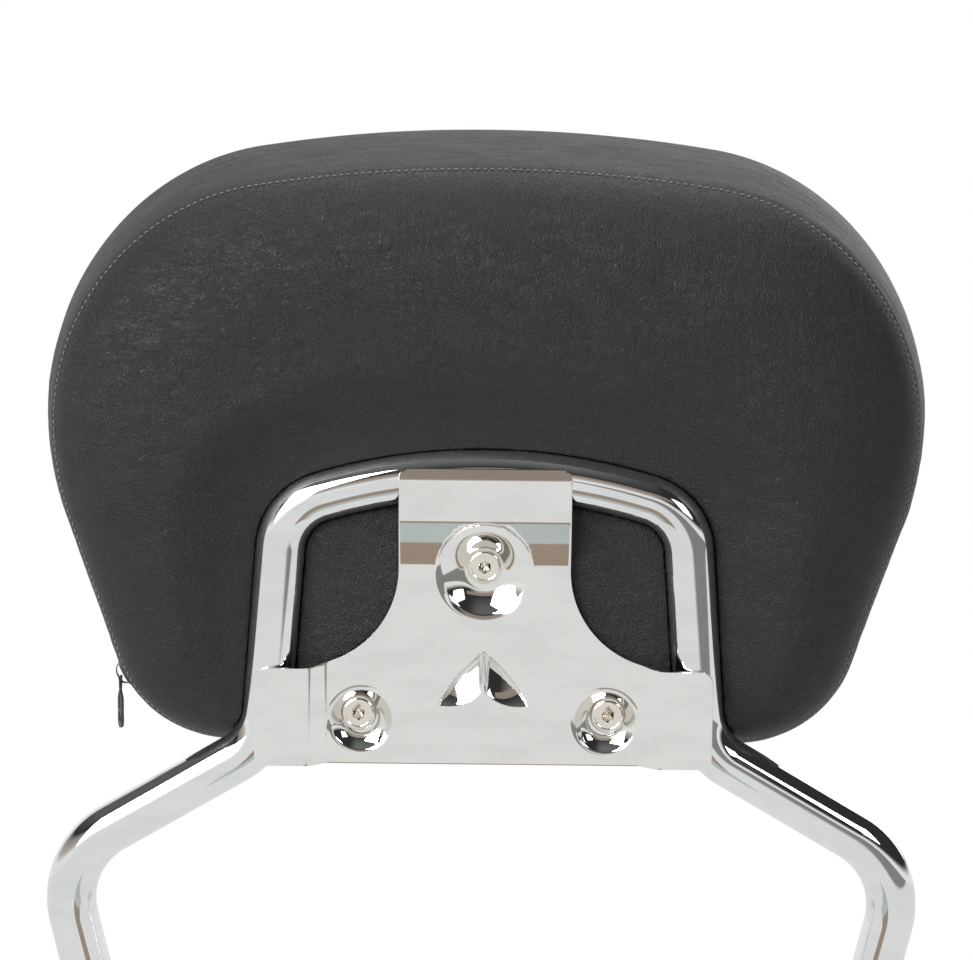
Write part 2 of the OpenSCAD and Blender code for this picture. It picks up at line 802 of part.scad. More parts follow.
// The pull hangs from a cross bar trapped under the slider's bridge
bar_r = 0.7;
bar_turn = 1.6;
bar_angle = slider_mid + bar_turn;
bar_out = pad_foot_r + flare_at(zip_w) + slider_top + bridge_rise / 2;
bar_at = [-foot_c[0] + bar_out * cos(bar_angle), foot_c[1] + bar_out * sin(bar_angle)];
pull_w = 2.6;
pull_t = 1.2;
arm_0 = bridge_w + seat_gap;
arm_1 = 2.2;
arm_l = 3.5;
eye_r = 1.3;
eye_edge = 0.4;
module zip_pull() {
    color([0.1, 0.1, 0.11])
        lean()
            translate([bar_at[0], bar_at[1], zip_w]) {
                cylinder(h = 2 * arm_1, r = bar_r, center = true);
                for (s = [-1, 1])
                    translate([-pull_t / 2, -arm_l, s > 0 ? arm_0 : -arm_1])
                        cube([pull_t, arm_l, arm_1 - arm_0]);
                difference() {
                    translate([-pull_t / 2, -pull_l, -pull_w])
                        cube([pull_t, pull_l - arm_l, 2 * pull_w]);
                    translate([0, pull_w + eye_edge - pull_l, 0])
                        rotate([0, 90, 0])
                            cylinder(h = 2 * pull_t, r = eye_r, center = true);
                }
            }
}

frame_tube();
side_plate(-1);  // side_plate_left
side_plate(1);  // side_plate_right
end_weld(-1);  // end_weld_left
end_weld(1);  // end_weld_right
pad_bracket();
screw(0);  // screw_top
screw(1);  // screw_left
screw(2);  // screw_right
tee_nut(0);  // tee_nut_top
tee_nut(1);  // tee_nut_left
tee_nut(2);  // tee_nut_right
base_board();
foam_core();
cover_front_panel();
cover_side_band();
cover_back_panel();
zip_tape(-1);  // zip_tape_front
zip_tape(1);  // zip_tape_back
zip_teeth(-1);  // zip_teeth_front
zip_teeth(1);  // zip_teeth_back
zip_stop(-1);  // zip_stop_left
zip_stop(1);  // zip_stop_right
zip_slider();
zip_pull();
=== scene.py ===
"""Looks of a motorcycle passenger backrest: a chromed hoop, a pressed bracket and a sewn pad.

Lengths inside the functions are in millimetres in the flat drawing of the hoop: u to the
right seen from behind, v up along the hoop and w out of it towards the back. leant() tips
that drawing into the frame of the CAD model, in metres.
"""

import bmesh
import bpy
import numpy as np
from bpy.props import FloatProperty, FloatVectorProperty, PointerProperty
from mathutils import Matrix, Vector
from mathutils.geometry import delaunay_2d_cdt


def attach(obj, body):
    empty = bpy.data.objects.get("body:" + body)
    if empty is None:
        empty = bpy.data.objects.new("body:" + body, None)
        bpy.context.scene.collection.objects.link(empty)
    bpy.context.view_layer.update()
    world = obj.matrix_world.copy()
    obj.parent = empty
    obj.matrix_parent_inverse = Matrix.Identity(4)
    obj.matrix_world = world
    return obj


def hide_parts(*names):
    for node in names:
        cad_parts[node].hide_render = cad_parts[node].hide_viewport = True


bl_info = {
    "name": "Motorcycle backrest",
    "version": (1, 0, 0),
    "blender": (4, 5, 0),
    "location": "View3D > Sidebar > Backrest",
    "description": "Chromed tube hoop with a pressed bracket and a padded, zipped cover",
    "category": "Object",
}

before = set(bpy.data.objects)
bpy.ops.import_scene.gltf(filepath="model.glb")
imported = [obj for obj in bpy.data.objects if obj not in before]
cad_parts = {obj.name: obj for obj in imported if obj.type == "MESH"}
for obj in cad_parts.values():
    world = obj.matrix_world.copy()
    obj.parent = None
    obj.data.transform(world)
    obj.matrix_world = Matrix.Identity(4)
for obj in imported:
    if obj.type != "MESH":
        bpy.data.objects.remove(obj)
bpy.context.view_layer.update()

BODY = "backrest"
LEAN = np.radians(12.0)
RISE = 225.074  # from the bolt axis up to the drawing's origin

# Hoop and side plates
CROWN_V = 64.5
CROWN_TURN = 17.0
TUBE_SIDES = 80
TUBE_WALL = 2.0
TUBE_END_V = -190.8
FOOT_U = 146.386
PLATE_R = 0.019
HOLE_R = 0.00425
HOLE_PITCH = 0.1
ROUNDING = 0.0006

# Bracket: its panel's height, and middle and rim of each dish
PANEL_W = 6.8
STEP_H = 5.0
SCREWS = np.array([[0.0, 29.5], [-47.5, -28.0], [47.5, -28.0]])
SCREW_HOLE_R = 4.4
DISHES = [((0.0, 27.4), 18.5), ((-46.5, -30.1), 13.0), ((46.5, -30.1), 13.0)]
DISH_DEPTH = 6.0
HEAD_SEAT_R = 7.2
LIP_SHARE = 0.2
TAB_FOOT_V, TAB_BEND_V, TAB_FOLD_V = 28.5, 48.0, 63.6
CHEVRON_TOP = -3.2
CHEVRON_BOX = (22, -29, -1)  # half width, bottom and top of the finer grid

# Pad: depths of its seams and of the zip's middle, and growth from back to front seam
BACK_SEAM_W = -12.0
FRONT_SEAM_W = -62.0
BAND_H = BACK_SEAM_W - FRONT_SEAM_W
ZIP_W = -27.0
ZIP_DOWN = BACK_SEAM_W - ZIP_W
FLARE = 9.0
SEAM_GAP = 0.8
PAD_MIDDLE = np.array([0.0, 67.8])
EDGE_SHARE, EDGE_WIDTH, MIDDLE_INSET = 0.72, 32.0, 85.0
CONTACT_R = 9.8  # of the vinyl's inside round the tube
CONTACT_WIDTH = 11.0

# Camera: focal length and aim in pixels of a frame 973 wide
FOCAL, FRAME_WIDTH, AIM = 3406.0, 973.0, (2.5, 160.0)
CAMERA_ROLL = 0.6
FLOOR_Z = -0.0192


# Places and directions


def leant(points):
    """Flat u, v, w in mm to the model's frame in m: v and w turn together by the lean about
    the bolt axis after v is raised."""
    u, v, w = np.asarray(points, float).reshape(-1, 3).T
    y = -w * np.cos(LEAN) - (v + RISE) * np.sin(LEAN)
    z = -w * np.sin(LEAN) + (v + RISE) * np.cos(LEAN)
    return np.stack([u, y, z], 1) / 1000.0


def upright(points):
    """Millimetres of the model's own frame to metres."""
    return np.asarray(points, float).reshape(-1, 3) / 1000.0


def spread(u, v, w):
    """Three grids of coordinates as one list of points."""
    return np.stack([u, v, w], -1).reshape(-1, 3)


def round_angles(n):
    return np.linspace(0, 2 * np.pi, n, endpoint=False)


def circle(centre, r, n):
    """n points round a circle, anticlockwise from its right."""
    a = round_angles(n)
    return np.stack([centre[0] + r * np.cos(a), centre[1] + r * np.sin(a)], 1)


def arc(centre, r, headings):
    """Points of a circle at headings in degrees, clockwise from its top."""
    a = np.radians(headings)
    return np.stack([centre[0] + r * np.sin(a), centre[1] + r * np.cos(a)], 1)


def grid_points(us, vs):
    return np.stack([x.ravel() for x in np.meshgrid(us, vs)], 1)


def run_lengths(points):
    """Length run along a line up to each of its points."""
    return np.concatenate([[0.0], np.cumsum(np.hypot(*np.diff(points, axis=0).T))])


def unit(x):
    return np.clip(x, 0.0, 1.0)


def smooth(x, a, b):
    """Rises from 0 at a to 1 at b with level ends."""
    t = unit((x - a) / (b - a))
    return t * t * (3.0 - 2.0 * t)


def soft_min(a, b, k):
    """The smaller of two surfaces, with a fillet of width k where they meet."""
    h = unit(0.5 + 0.5 * (b - a) / k)
    return b * (1 - h) + a * h - k * h * (1 - h)


def ripple(p, size, seed):
    """Smooth noise from -1 to 1: a sum of sine waves of random directions and phases, whose
    wavelengths lie about the given size in mm."""
    rng = np.random.default_rng(seed)
    total = np.zeros(len(p))
    for _ in range(14):
        k = rng.normal(size=p.shape[1])
        k *= 2 * np.pi / (size * rng.uniform(0.6, 1.6)) / np.linalg.norm(k)
        total += np.sin(p @ k + rng.uniform(0, 2 * np.pi))
    return total / 5.0


# Mesh makers


def grid_faces(rows, cols, wrap_rows=False, wrap_cols=False):
    """Quads between neighbours of a rows by cols grid of points, row after row."""
    i = np.arange(rows if wrap_rows else rows - 1)
    j = np.arange(cols if wrap_cols else cols - 1)
    a, b = (x.ravel() for x in np.meshgrid(i, j, indexing="ij"))
    a1, b1 = (a + 1) % rows, (b + 1) % cols
    return np.stack([a * cols + b, a1 * cols + b, a1 * cols + b1, a * cols + b1], 1)


def capped_faces(rows, cols, flip=False):
    """Quads round a stack of closed rings, and a face over each end."""
    faces = grid_faces(rows, cols, wrap_cols=True)
    if flip:
        faces = faces[:, ::-1]
    ends = [list(range(cols)), list(range((rows - 1) * cols, rows * cols))[::-1]]
    return faces.tolist() + ends


def copies(faces, size, count):
    """The faces of one small form of size points, for count of them in a row."""
    return [[q + k * size for q in face] for k in range(count) for face in faces]


def joined(parts):
    """Several (points, faces) pairs as one."""
    points, faces, start = [], [], 0
    for p, f in parts:
        points.append(np.asarray(p).reshape(-1, 3))
        faces += [[int(k) + start for k in face] for face in f]
        start += len(points[-1])
    return np.concatenate(points), faces


def shell(outer, under, faces):
    """Closes two sheets with the same faces along their common rim. The rim's edges are those
    that belong to one face only."""
    n = len(outer)
    edges = np.concatenate([faces[:, [k, (k + 1) % 4]] for k in range(4)])
    order = np.sort(edges, 1)
    key = order[:, 0] * np.int64(n) + order[:, 1]
    _, first, count = np.unique(key, return_index=True, return_counts=True)
    rim = edges[first[count == 1]]
    wall = np.c_[rim[:, 1], rim[:, 0], rim[:, 0] + n, rim[:, 1] + n]
    return np.concatenate([outer, under]), np.concatenate([faces, faces[:, ::-1] + n, wall])


def outward(mesh):
    """Merges a closed mesh's doubles and turns its faces outwards."""
    bm = bmesh.new()
    bm.from_mesh(mesh)
    bmesh.ops.remove_doubles(bm, verts=bm.verts, dist=1e-6)
    bmesh.ops.recalc_face_normals(bm, faces=bm.faces)
    bm.to_mesh(mesh)
    bm.free()
    mesh.update()


def plain_object(name, points, faces):
    mesh = bpy.data.meshes.new(name)
    mesh.from_pydata(points, [], faces)
    obj = bpy.data.objects.new(name, mesh)
    bpy.context.scene.collection.objects.link(obj)
    return obj


def piece(name, points, faces, finish, slot=None, node=None, body=BODY, sharp=None, closed=True):
    """A mesh object from points in m and faces, which rides on a body. A closed one has its
    faces turned outwards. Edges that turn by more than sharp degrees are shaded sharply."""
    obj = plain_object(name, np.asarray(points).tolist(), [list(map(int, f)) for f in faces])
    mesh = obj.data
    mesh.validate()
    mesh.polygons.foreach_set("use_smooth", np.ones(len(mesh.polygons), bool))
    mesh.update()
    mesh.materials.append(FINISHES[finish])
    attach(obj, body)
    if node:
        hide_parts(node)
    if closed:
        outward(mesh)
    if sharp:
        mesh.set_sharp_from_angle(angle=np.radians(sharp))
    return obj


# Centre line of the tube


def hoop_run(p):
    """The right half of the hoop from its top middle: (turn in degrees, radius) for a bend
    and (0, length) for a straight. Turns are clockwise."""
    fall, quarter = p.shoulder_fall, 90.0 - p.upright_flare
    return [
        (CROWN_TURN, 212.0),
        (quarter - CROWN_TURN, p.corner_r * 1000),
        (0.0, 64.0),
        (-(quarter - fall), 25.0),
        (0.0, 55.0),
        (90.0 + p.leg_slant - fall, 33.0),
        (0.0, 45.0),
        (-p.leg_slant, 40.0),
        (0.0, 27.0),
    ]


def hoop_line(p, step):
    """Points (u, v, heading) along the tube from left foot to right foot. An arc of radius r
    moves by r times the change of (sin, cos) of its heading."""
    at = np.array([0.0, CROWN_V, 0.0])
    rows = []
    for turn, size in hoop_run(p):
        start = np.radians(at[2])
        if turn == 0.0:
            t = np.linspace(0, size, max(2, int(size / 6.0)) + 1)
            run = np.stack([at[0] + t * np.cos(start), at[1] - t * np.sin(start), t * 0 + at[2]], 1)
        else:
            h = at[2] + np.linspace(0, turn, int(np.ceil(abs(turn) / step)) + 1)
            r = np.sign(turn) * size
            run = np.stack([
                at[0] + r * (np.sin(np.radians(h)) - np.sin(start)),
                at[1] + r * (np.cos(np.radians(h)) - np.cos(start)),
                h,
            ], 1)
        rows.append(run[:-1])
        at = run[-1]
    right = np.concatenate(rows + [at[None]])
    left = right[:0:-1] * np.array([-1.0, 1.0, -1.0])
    return np.concatenate([left, right])


def tube_rings(line, r):
    """Circles of radius r square to the heading of each point of the line."""
    a = round_angles(TUBE_SIDES)
    h = np.radians(line[:, 2])[:, None]
    u = line[:, 0:1] + r * np.cos(a) * np.sin(h)
    v = line[:, 1:2] + r * np.cos(a) * np.cos(h)
    return np.stack([u, v, r * np.sin(a) + 0 * h], -1)


def near_hoop(p, uv):
    """Distance, nearest point and direction from the centre line to each point (u, v), and
    whether the point lies on the hoop's outer side, left of the line's travel."""
    line = hoop_line(p, 2.0)[:, :2]
    best = np.full(len(uv), 1e9)
    foot = np.zeros_like(uv)
    outer = np.zeros(len(uv), bool)
    for p0, p1 in zip(line[:-1], line[1:]):
        d = p1 - p0
        q = p0 + unit(((uv - p0) @ d) / (d @ d))[:, None] * d
        gap = uv - q
        dist = np.hypot(*gap.T)
        closer = dist < best
        best[closer] = dist[closer]
        foot[closer] = q[closer]
        outer[closer] = (d[0] * gap[:, 1] - d[1] * gap[:, 0] > 0)[closer]
    return best, foot, (uv - foot) / np.maximum(best, 1e-6)[:, None], outer


# Outline of the pad


def pad_table():
    """Points and outward normals of the pad's back outline, clockwise from its top middle,
    with the length run so far. Arcs give their own normals, so growing the outline by g is
    adding g times the normal."""
    arcs = [
        ((0.0, -382.2), 560.0, 0.0, 9.0, 40),
        ((73.21, 80.04), 92.0, 9.0, 90.0, 90),
        ((50.21, 80.04), 115.0, 90.0, 109.0, 40),
        ((98.363, 1.8), 44.0, 109.0, 180.0, 70),
    ]
    heads = [np.linspace(first, last, n) for _, _, first, last, n in arcs]
    points = [arc(centre, r, h) for (centre, r, *_), h in zip(arcs, heads)]
    half = np.concatenate(points + [np.array([[49.0, -42.2], [0.0, -42.2]])])
    head = np.concatenate(heads + [np.array([180.0, 180.0])])
    whole = np.concatenate([half, half[-2::-1] * np.array([-1.0, 1.0])])
    return whole, np.concatenate([head, 360.0 - head[-2::-1]]), run_lengths(whole)


PAD_POINTS, PAD_HEADS, PAD_RUN = pad_table()
PAD_LENGTH = PAD_RUN[-1]


def outline(s, g):
    """Point of the pad's outline at share s of its length, moved outwards by g. Sideways the
    growth falls short by a share of its square, and the top is raised as the squared cosine of
    its heading, more the further it grows."""
    run = np.mod(s, 1.0) * PAD_LENGTH
    u = np.interp(run, PAD_RUN, PAD_POINTS[:, 0])
    v = np.interp(run, PAD_RUN, PAD_POINTS[:, 1])
    h = np.radians(np.interp(run, PAD_RUN, PAD_HEADS))
    grown = np.clip(g, 0, None)
    top = (1.5 + 0.2 * grown) * np.clip(np.cos(h), 0, None) ** 2
    return u + (g - 0.03 * grown ** 2) * np.sin(h), v + g * np.cos(h) + top


def share_at_heading(degrees):
    """Share of the outline's length at which its normal has a heading."""
    return np.interp(degrees, PAD_HEADS, PAD_RUN) / PAD_LENGTH


def flare(w):
    """Growth of the outline at depth w: none at the back seam and even from there forward."""
    return FLARE * (BACK_SEAM_W - w) / BAND_H


def disc(n):
    """A square grid bent to a disc: rho is the larger of its two coordinates and s the share
    of that square's perimeter, clockwise from its top middle."""
    t = np.linspace(-1, 1, 2 * n + 1)
    a, b = (x.ravel() for x in np.meshgrid(t, t, indexing="ij"))
    rho = np.maximum(np.abs(a), np.abs(b))
    eighth = 8 * np.maximum(rho, 1e-9)
    top = b >= np.abs(a)
    right = (a >= np.abs(b)) & ~top
    bottom = (-b >= np.abs(a)) & ~top & ~right
    s = np.select([top, right, bottom],
                  [a / eighth, 0.25 - b / eighth, 0.5 - a / eighth], 0.75 + b / eighth)
    return rho, np.mod(s, 1.0), grid_faces(2 * n + 1, 2 * n + 1)


def inside(rho, s, g):
    """Points within the outline grown by g: the outer rings run parallel to it, and the ones
    inside them shrink towards the pad's middle. Also gives the inset from the edge."""
    inset = unit((1 - rho) / (1 - EDGE_SHARE)) * EDGE_WIDTH
    scale = unit(rho / EDGE_SHARE)
    u, v = (m + (x - m) * scale for m, x in zip(PAD_MIDDLE, outline(s, g - inset)))
    return u, v, inset + (1 - scale) * MIDDLE_INSET


# Materials


class Value:
    """A node's output. Sums, products and the like add Math nodes."""

    def __init__(self, owner, socket):
        self.owner, self.socket = owner, socket

    def math(self, operation, *values):
        return self.owner.node("ShaderNodeMath", {"operation": operation},
                               dict(enumerate(values)))

    def __add__(self, other):
        return self.math("ADD", self, other)

    __radd__ = __add__

    def __mul__(self, other):
        return self.math("MULTIPLY", self, other)

    __rmul__ = __mul__

    def __sub__(self, other):
        return self.math("SUBTRACT", self, other)

    def __rsub__(self, other):
        return self.math("SUBTRACT", other, self)

    def __abs__(self):
        return self.math("ABSOLUTE", self)

    def above(self, low, high):
        """0 below low, 1 above high, smooth between."""
        return self.owner.node("ShaderNodeMapRange", {"interpolation_type": "SMOOTHSTEP"},
                               {"Value": self, "From Min": low, "From Max": high})


class Nodes:
    """A node tree under construction."""

    def __init__(self, tree):
        self.tree = tree

    def plug(self, socket, value):
        """Links a value or a socket, or sets a constant."""
        if isinstance(value, Value):
            value = value.socket
        if isinstance(value, bpy.types.NodeSocket):
            self.tree.links.new(value, socket)
        else:
            socket.default_value = value

    def node(self, kind, settings=None, inputs=None, output=0):
        """Adds a node: its settings first, then the values or links of its sockets."""
        made = self.tree.nodes.new(kind)
        for key, value in (settings or {}).items():
            if key == "stops":
                ramp = made.color_ramp
                while len(ramp.elements) < len(value):
                    ramp.elements.new(0.5)
                for element, (place, colour) in zip(ramp.elements, value):
                    element.position, element.color = place, (*colour, 1.0)
            else:
                setattr(made, key, value)
        for key, value in (inputs or {}).items():
            self.plug(made.inputs[key], value)
        return Value(self, made.outputs[output])

    def mix(self, factor, a, b):
        """One colour or the other. The node's colour sockets are its inputs 6 and 7."""
        a, b = ((*c, 1.0) if isinstance(c, tuple) else c for c in (a, b))
        return self.node("ShaderNodeMix", {"data_type": "RGBA"}, {0: factor, 6: a, 7: b}, 2)

    def either(self, factor, a, b):
        """One shader or the other."""
        return self.node("ShaderNodeMixShader", {}, {0: factor, 1: a, 2: b})

    def parts(self, vector):
        """X, Y and Z of a vector."""
        split = self.node("ShaderNodeSeparateXYZ", {}, {"Vector": vector})
        return [Value(self, socket) for socket in split.socket.node.outputs]

    def rays(self):
        """Whether a ray comes from the camera, from gloss or through glass."""
        path = self.tree.nodes.new("ShaderNodeLightPath")
        return [Value(self, path.outputs[f"Is {kind} Ray"])
                for kind in ("Camera", "Glossy", "Transmission")]


class Finish(Nodes):
    """A material under construction, with a Principled shader."""

    def __init__(self, name, **constants):
        self.material = bpy.data.materials.new(name)
        self.material.use_nodes = True
        super().__init__(self.material.node_tree)
        self.shader = self.tree.nodes["Principled BSDF"]
        for key, value in constants.items():
            self.shader.inputs[key.replace("_", " ")].default_value = value
        self.where = self.tree.nodes.new("ShaderNodeTexCoord").outputs["Object"]

    def stretched(self, scale, turn=(0.0, 0.0, 0.0)):
        """Object coordinates turned and scaled."""
        return self.node("ShaderNodeMapping", {},
                         {"Vector": self.where, "Rotation": turn, "Scale": scale})

    def noise(self, scale, detail=3.0, rough=0.55, at=None, distortion=0.0):
        return self.node("ShaderNodeTexNoise", {}, {
            "Vector": self.where if at is None else at, "Scale": scale, "Detail": detail,
            "Roughness": rough, "Distortion": distortion})

    def cell_edges(self, scale):
        """Distance to the nearest border between cells."""
        return self.node("ShaderNodeTexVoronoi", {"feature": "DISTANCE_TO_EDGE"},
                         {"Vector": self.where, "Scale": scale})

    def bump(self, height, strength, distance, onto=None):
        inputs = {"Strength": strength, "Distance": distance, "Height": height}
        if onto is not None:
            inputs["Normal"] = onto
        return self.node("ShaderNodeBump", {}, inputs)

    def set(self, name, value):
        self.plug(self.shader.inputs[name], value)

    def surface(self, shader):
        """Shows a shader in place of the Principled one."""
        self.plug(self.tree.nodes["Material Output"].inputs["Surface"], shader)


def times(colour, k):
    return tuple(k * c for c in colour)


def chrome(name, colour, rough=0.035, wave=0.00004):
    """Chrome plate: faint waviness from polishing and thin smears that dull it a little."""
    f = Finish(name, Metallic=1.0)
    smear = f.noise(38.0, 4.0, 0.6, f.stretched((1.0, 1.0, 3.0)))
    f.set("Base Color", f.mix(smear.above(0.35, 0.75), colour, times(colour, 0.93)))
    f.set("Roughness", rough + 0.035 * smear.above(0.45, 0.8))
    f.set("Normal", f.bump(f.noise(26.0, 2.0, 0.5), 0.35, wave))
    return f.material


def leather(name, colour, rough, grain=1.0):
    """Vinyl with pebbled grain, fine creases that run slantwise, and worn, shinier patches."""
    f = Finish(name, Specular_IOR_Level=0.4)
    patches = f.noise(9.0, 4.0, 0.6)
    pores = f.cell_edges(1050.0).above(0.02, 0.32)
    fine = f.noise(2400.0, 3.0, 0.6)
    creases = f.noise(70.0, 6.0, 0.68, f.stretched((1.0, 2.2, 2.6), (0.0, 0.6, 0.35)), 1.2)
    lines = 1.0 - abs(creases - 0.5).above(0.0, 0.045)
    tone = f.mix(patches.above(0.3, 0.7), colour, times(colour, 1.25))
    f.set("Base Color", f.mix(pores * 0.5, times(colour, 0.7), tone))
    f.set("Roughness", rough + 0.1 * fine - 0.08 * patches)
    low = f.bump(lines, 0.5, 0.0003)
    folds = f.noise(430.0, 3.0, 0.6, f.stretched((1.0, 0.4, 0.35), (0.0, 0.9, 0.0)), 0.6)
    mid = f.bump(folds + 0.6 * f.noise(260.0, 4.0, 0.65), 0.6, 0.0007, low)
    f.set("Normal", f.bump(pores + 0.35 * fine, 0.7 * grain, 0.0003, mid))
    return f.material


def thread_finish():
    """Waxed polyester thread with a twist."""
    f = Finish("thread", Roughness=0.55)
    strand = f.noise(3000.0, 2.0, 0.5)
    f.set("Base Color", f.mix(strand, (0.05, 0.05, 0.048), (0.24, 0.236, 0.225)))
    f.set("Normal", f.bump(strand, 0.5, 0.0001))
    return f.material


def tape_finish():
    """Ribbed woven zip tape."""
    f = Finish("zip tape weave", Roughness=0.85, Sheen_Weight=0.15)
    ribs = f.node("ShaderNodeTexWave", {"wave_type": "BANDS", "bands_direction": "DIAGONAL"},
                  {"Vector": f.where, "Scale": 420.0, "Distortion": 0.6, "Detail": 2.0})
    fuzz = f.noise(1800.0, 4.0, 0.6)
    f.set("Base Color", f.mix(ribs * fuzz, (0.012, 0.012, 0.013), (0.045, 0.045, 0.047)))
    f.set("Normal", f.bump(ribs + fuzz, 0.6, 0.00015))
    return f.material


def moulded_finish(name, colour, rough, metal=0.0):
    """A hard, slightly mottled surface such as nylon, enamel or zinc."""
    f = Finish(name, Metallic=metal)
    mottle = f.noise(180.0, 4.0, 0.6)
    f.set("Base Color", f.mix(mottle, colour, times(colour, 1.5)))
    f.set("Roughness", rough + 0.15 * mottle)
    f.set("Normal", f.bump(mottle, 0.2, 0.0001))
    return f.material


def board_finish():
    """Birch plywood: layered edges and a faint grain on its faces."""
    f = Finish("plywood", Roughness=0.7)
    grain = f.noise(60.0, 6.0, 0.6, f.stretched((0.4, 6.0, 6.0)))
    f.set("Base Color", f.mix(grain, (0.42, 0.27, 0.13), (0.62, 0.45, 0.26)))
    f.set("Normal", f.bump(grain, 0.3, 0.0003))
    return f.material


def foam_finish():
    """Open-cell foam."""
    f = Finish("foam", Roughness=0.95, Subsurface_Weight=0.05)
    holes = f.cell_edges(900.0).above(0.0, 0.25)
    f.set("Base Color", f.mix(holes, (0.35, 0.27, 0.1), (0.78, 0.68, 0.4)))
    f.set("Normal", f.bump(holes, 0.8, 0.0004))
    return f.material


FINISHES = {}


def make_finishes():
    """Makes each material once, under the key by which the pieces name it."""
    FINISHES.update(
        tube=chrome("chromed tube", (0.84, 0.85, 0.86)),
        plate=chrome("chromed plate", (0.8, 0.81, 0.82), 0.06),
        sheet=chrome("chromed sheet", (0.86, 0.86, 0.85), 0.04, 0.00006),
        nickel=chrome("nickelled screw", (0.86, 0.82, 0.75), 0.07, 0.00003),
        back=leather("vinyl of the back panel", (0.0095, 0.0095, 0.0098), 0.48),
        # The side band is the panels' vinyl at twice their colour: a slightly lighter vinyl, made
        # lighter still as painted light for the light from above that the band catches.
        band=leather("vinyl of the side band", (0.019, 0.019, 0.0195), 0.5, 0.9),
        front=leather("vinyl of the front panel", (0.0095, 0.0095, 0.0098), 0.48),
        thread=thread_finish(),
        tape=tape_finish(),
        teeth=moulded_finish("zip nylon", (0.02, 0.02, 0.021), 0.4),
        enamel=moulded_finish("black enamel", (0.015, 0.015, 0.016), 0.22),
        zinc=moulded_finish("zinc plate", (0.45, 0.45, 0.43), 0.35, 1.0),
        board=board_finish(),
        foam=foam_finish(),
    )


# Settings


def length(name, text, default, least=0.0):
    return FloatProperty(name=name, description=text, default=default, min=least, unit="LENGTH")


def slope(name, text, default):
    return FloatProperty(name=name, description=text + ", in degrees", default=default)


class HoopSettings(bpy.types.PropertyGroup):
    tube_d: length("Tube diameter", "Outer diameter of the tube", 0.019, 0.01)
    corner_r: length("Top corner radius", "Centre-line radius of the top corners", 0.022, 0.01)
    upright_flare: slope("Flare of uprights", "Outward slope", 4.5)
    shoulder_fall: slope("Fall of shoulders", "Slope below level", 30.5)
    leg_slant: slope("Slant of legs", "Inward slope", 13.0)
    plate_t: length("Side plate", "Thickness of a side plate", 0.006)


class PadSettings(bpy.types.PropertyGroup):
    puff: length("Puff", "Height of the back panel over its seam", 0.0165)
    bulge: length("Bulge", "Extra swell of the back panel away from the tube", 0.0085)
    lip: length("Lip", "Height at which the vinyl leaves the tube", 0.0012)
    crown: length("Front crown", "Rise of the front panel over its seam", 0.018)
    stitch_pitch: length("Stitch pitch", "Distance from stitch to stitch", 0.0027, 0.001)


class BracketSettings(bpy.types.PropertyGroup):
    sheet_t: length("Sheet", "Thickness of the sheet", 0.002)
    head_d: length("Screw head", "Diameter of a screw's head", 0.014)
    socket_af: length("Hexagon socket", "Width across its flats", 0.004)


class ZipSettings(bpy.types.PropertyGroup):
    tooth_pitch: length("Tooth pitch", "Distance from tooth to tooth", 0.0016, 0.0008)
    tape_w: length("Tape", "Width of one tape", 0.0065)


class StageSettings(bpy.types.PropertyGroup):
    floor_colour: FloatVectorProperty(name="Floor", description="Colour of the floor",
                                      default=(0.86, 0.86, 0.86), size=3, subtype="COLOR")
    distance: length("Camera distance", "From the bracket to the camera", 1.3)
    raise_deg: slope("Camera rise", "Above the hoop's normal", 13.0)


# Pieces of the hoop


class BACKREST_OT_tube(bpy.types.Operator):
    """Bent chromed tube"""

    bl_idname = "backrest.tube"
    bl_label = "Tube"

    def execute(self, context):
        p = context.scene.backrest_hoop
        line = hoop_line(p, 1.5)
        r = p.tube_d * 500
        rings = np.concatenate([tube_rings(line[:1], r - TUBE_WALL), tube_rings(line, r),
                                tube_rings(line[-1:], r - TUBE_WALL)])
        piece("hoop_tube", leant(rings), capped_faces(len(rings), TUBE_SIDES, flip=True), "tube",
              "chrome", "frame_tube", sharp=35)
        return {"FINISHED"}


def plate_shape(t):
    """Flat bar with round ends and two bolt holes, filled as a curve and given its thickness
    and rounded edges. Drawn in Y and Z of the model, in m."""
    data = bpy.data.curves.new("shape", "CURVE")
    data.dimensions = "2D"
    data.fill_mode = "BOTH"
    data.extrude = t / 2 - ROUNDING
    data.bevel_depth = ROUNDING
    data.bevel_resolution = 3
    data.offset = -ROUNDING
    data.resolution_u = 1
    a = np.linspace(0, np.pi, 33)
    side, tip = PLATE_R * np.cos(a), PLATE_R * np.sin(a)
    outer = np.concatenate([np.stack([-tip, side], 1), np.stack([HOLE_PITCH + tip, -side], 1)])
    for loop in [outer] + [circle((y, 0.0), HOLE_R, 48) for y in (0.0, HOLE_PITCH)]:
        spline = data.splines.new("POLY")
        spline.points.add(len(loop) - 1)
        padded = np.c_[loop, np.zeros(len(loop)), np.ones(len(loop))]
        spline.points.foreach_set("co", padded.ravel())
        spline.use_cyclic_u = True
    return data


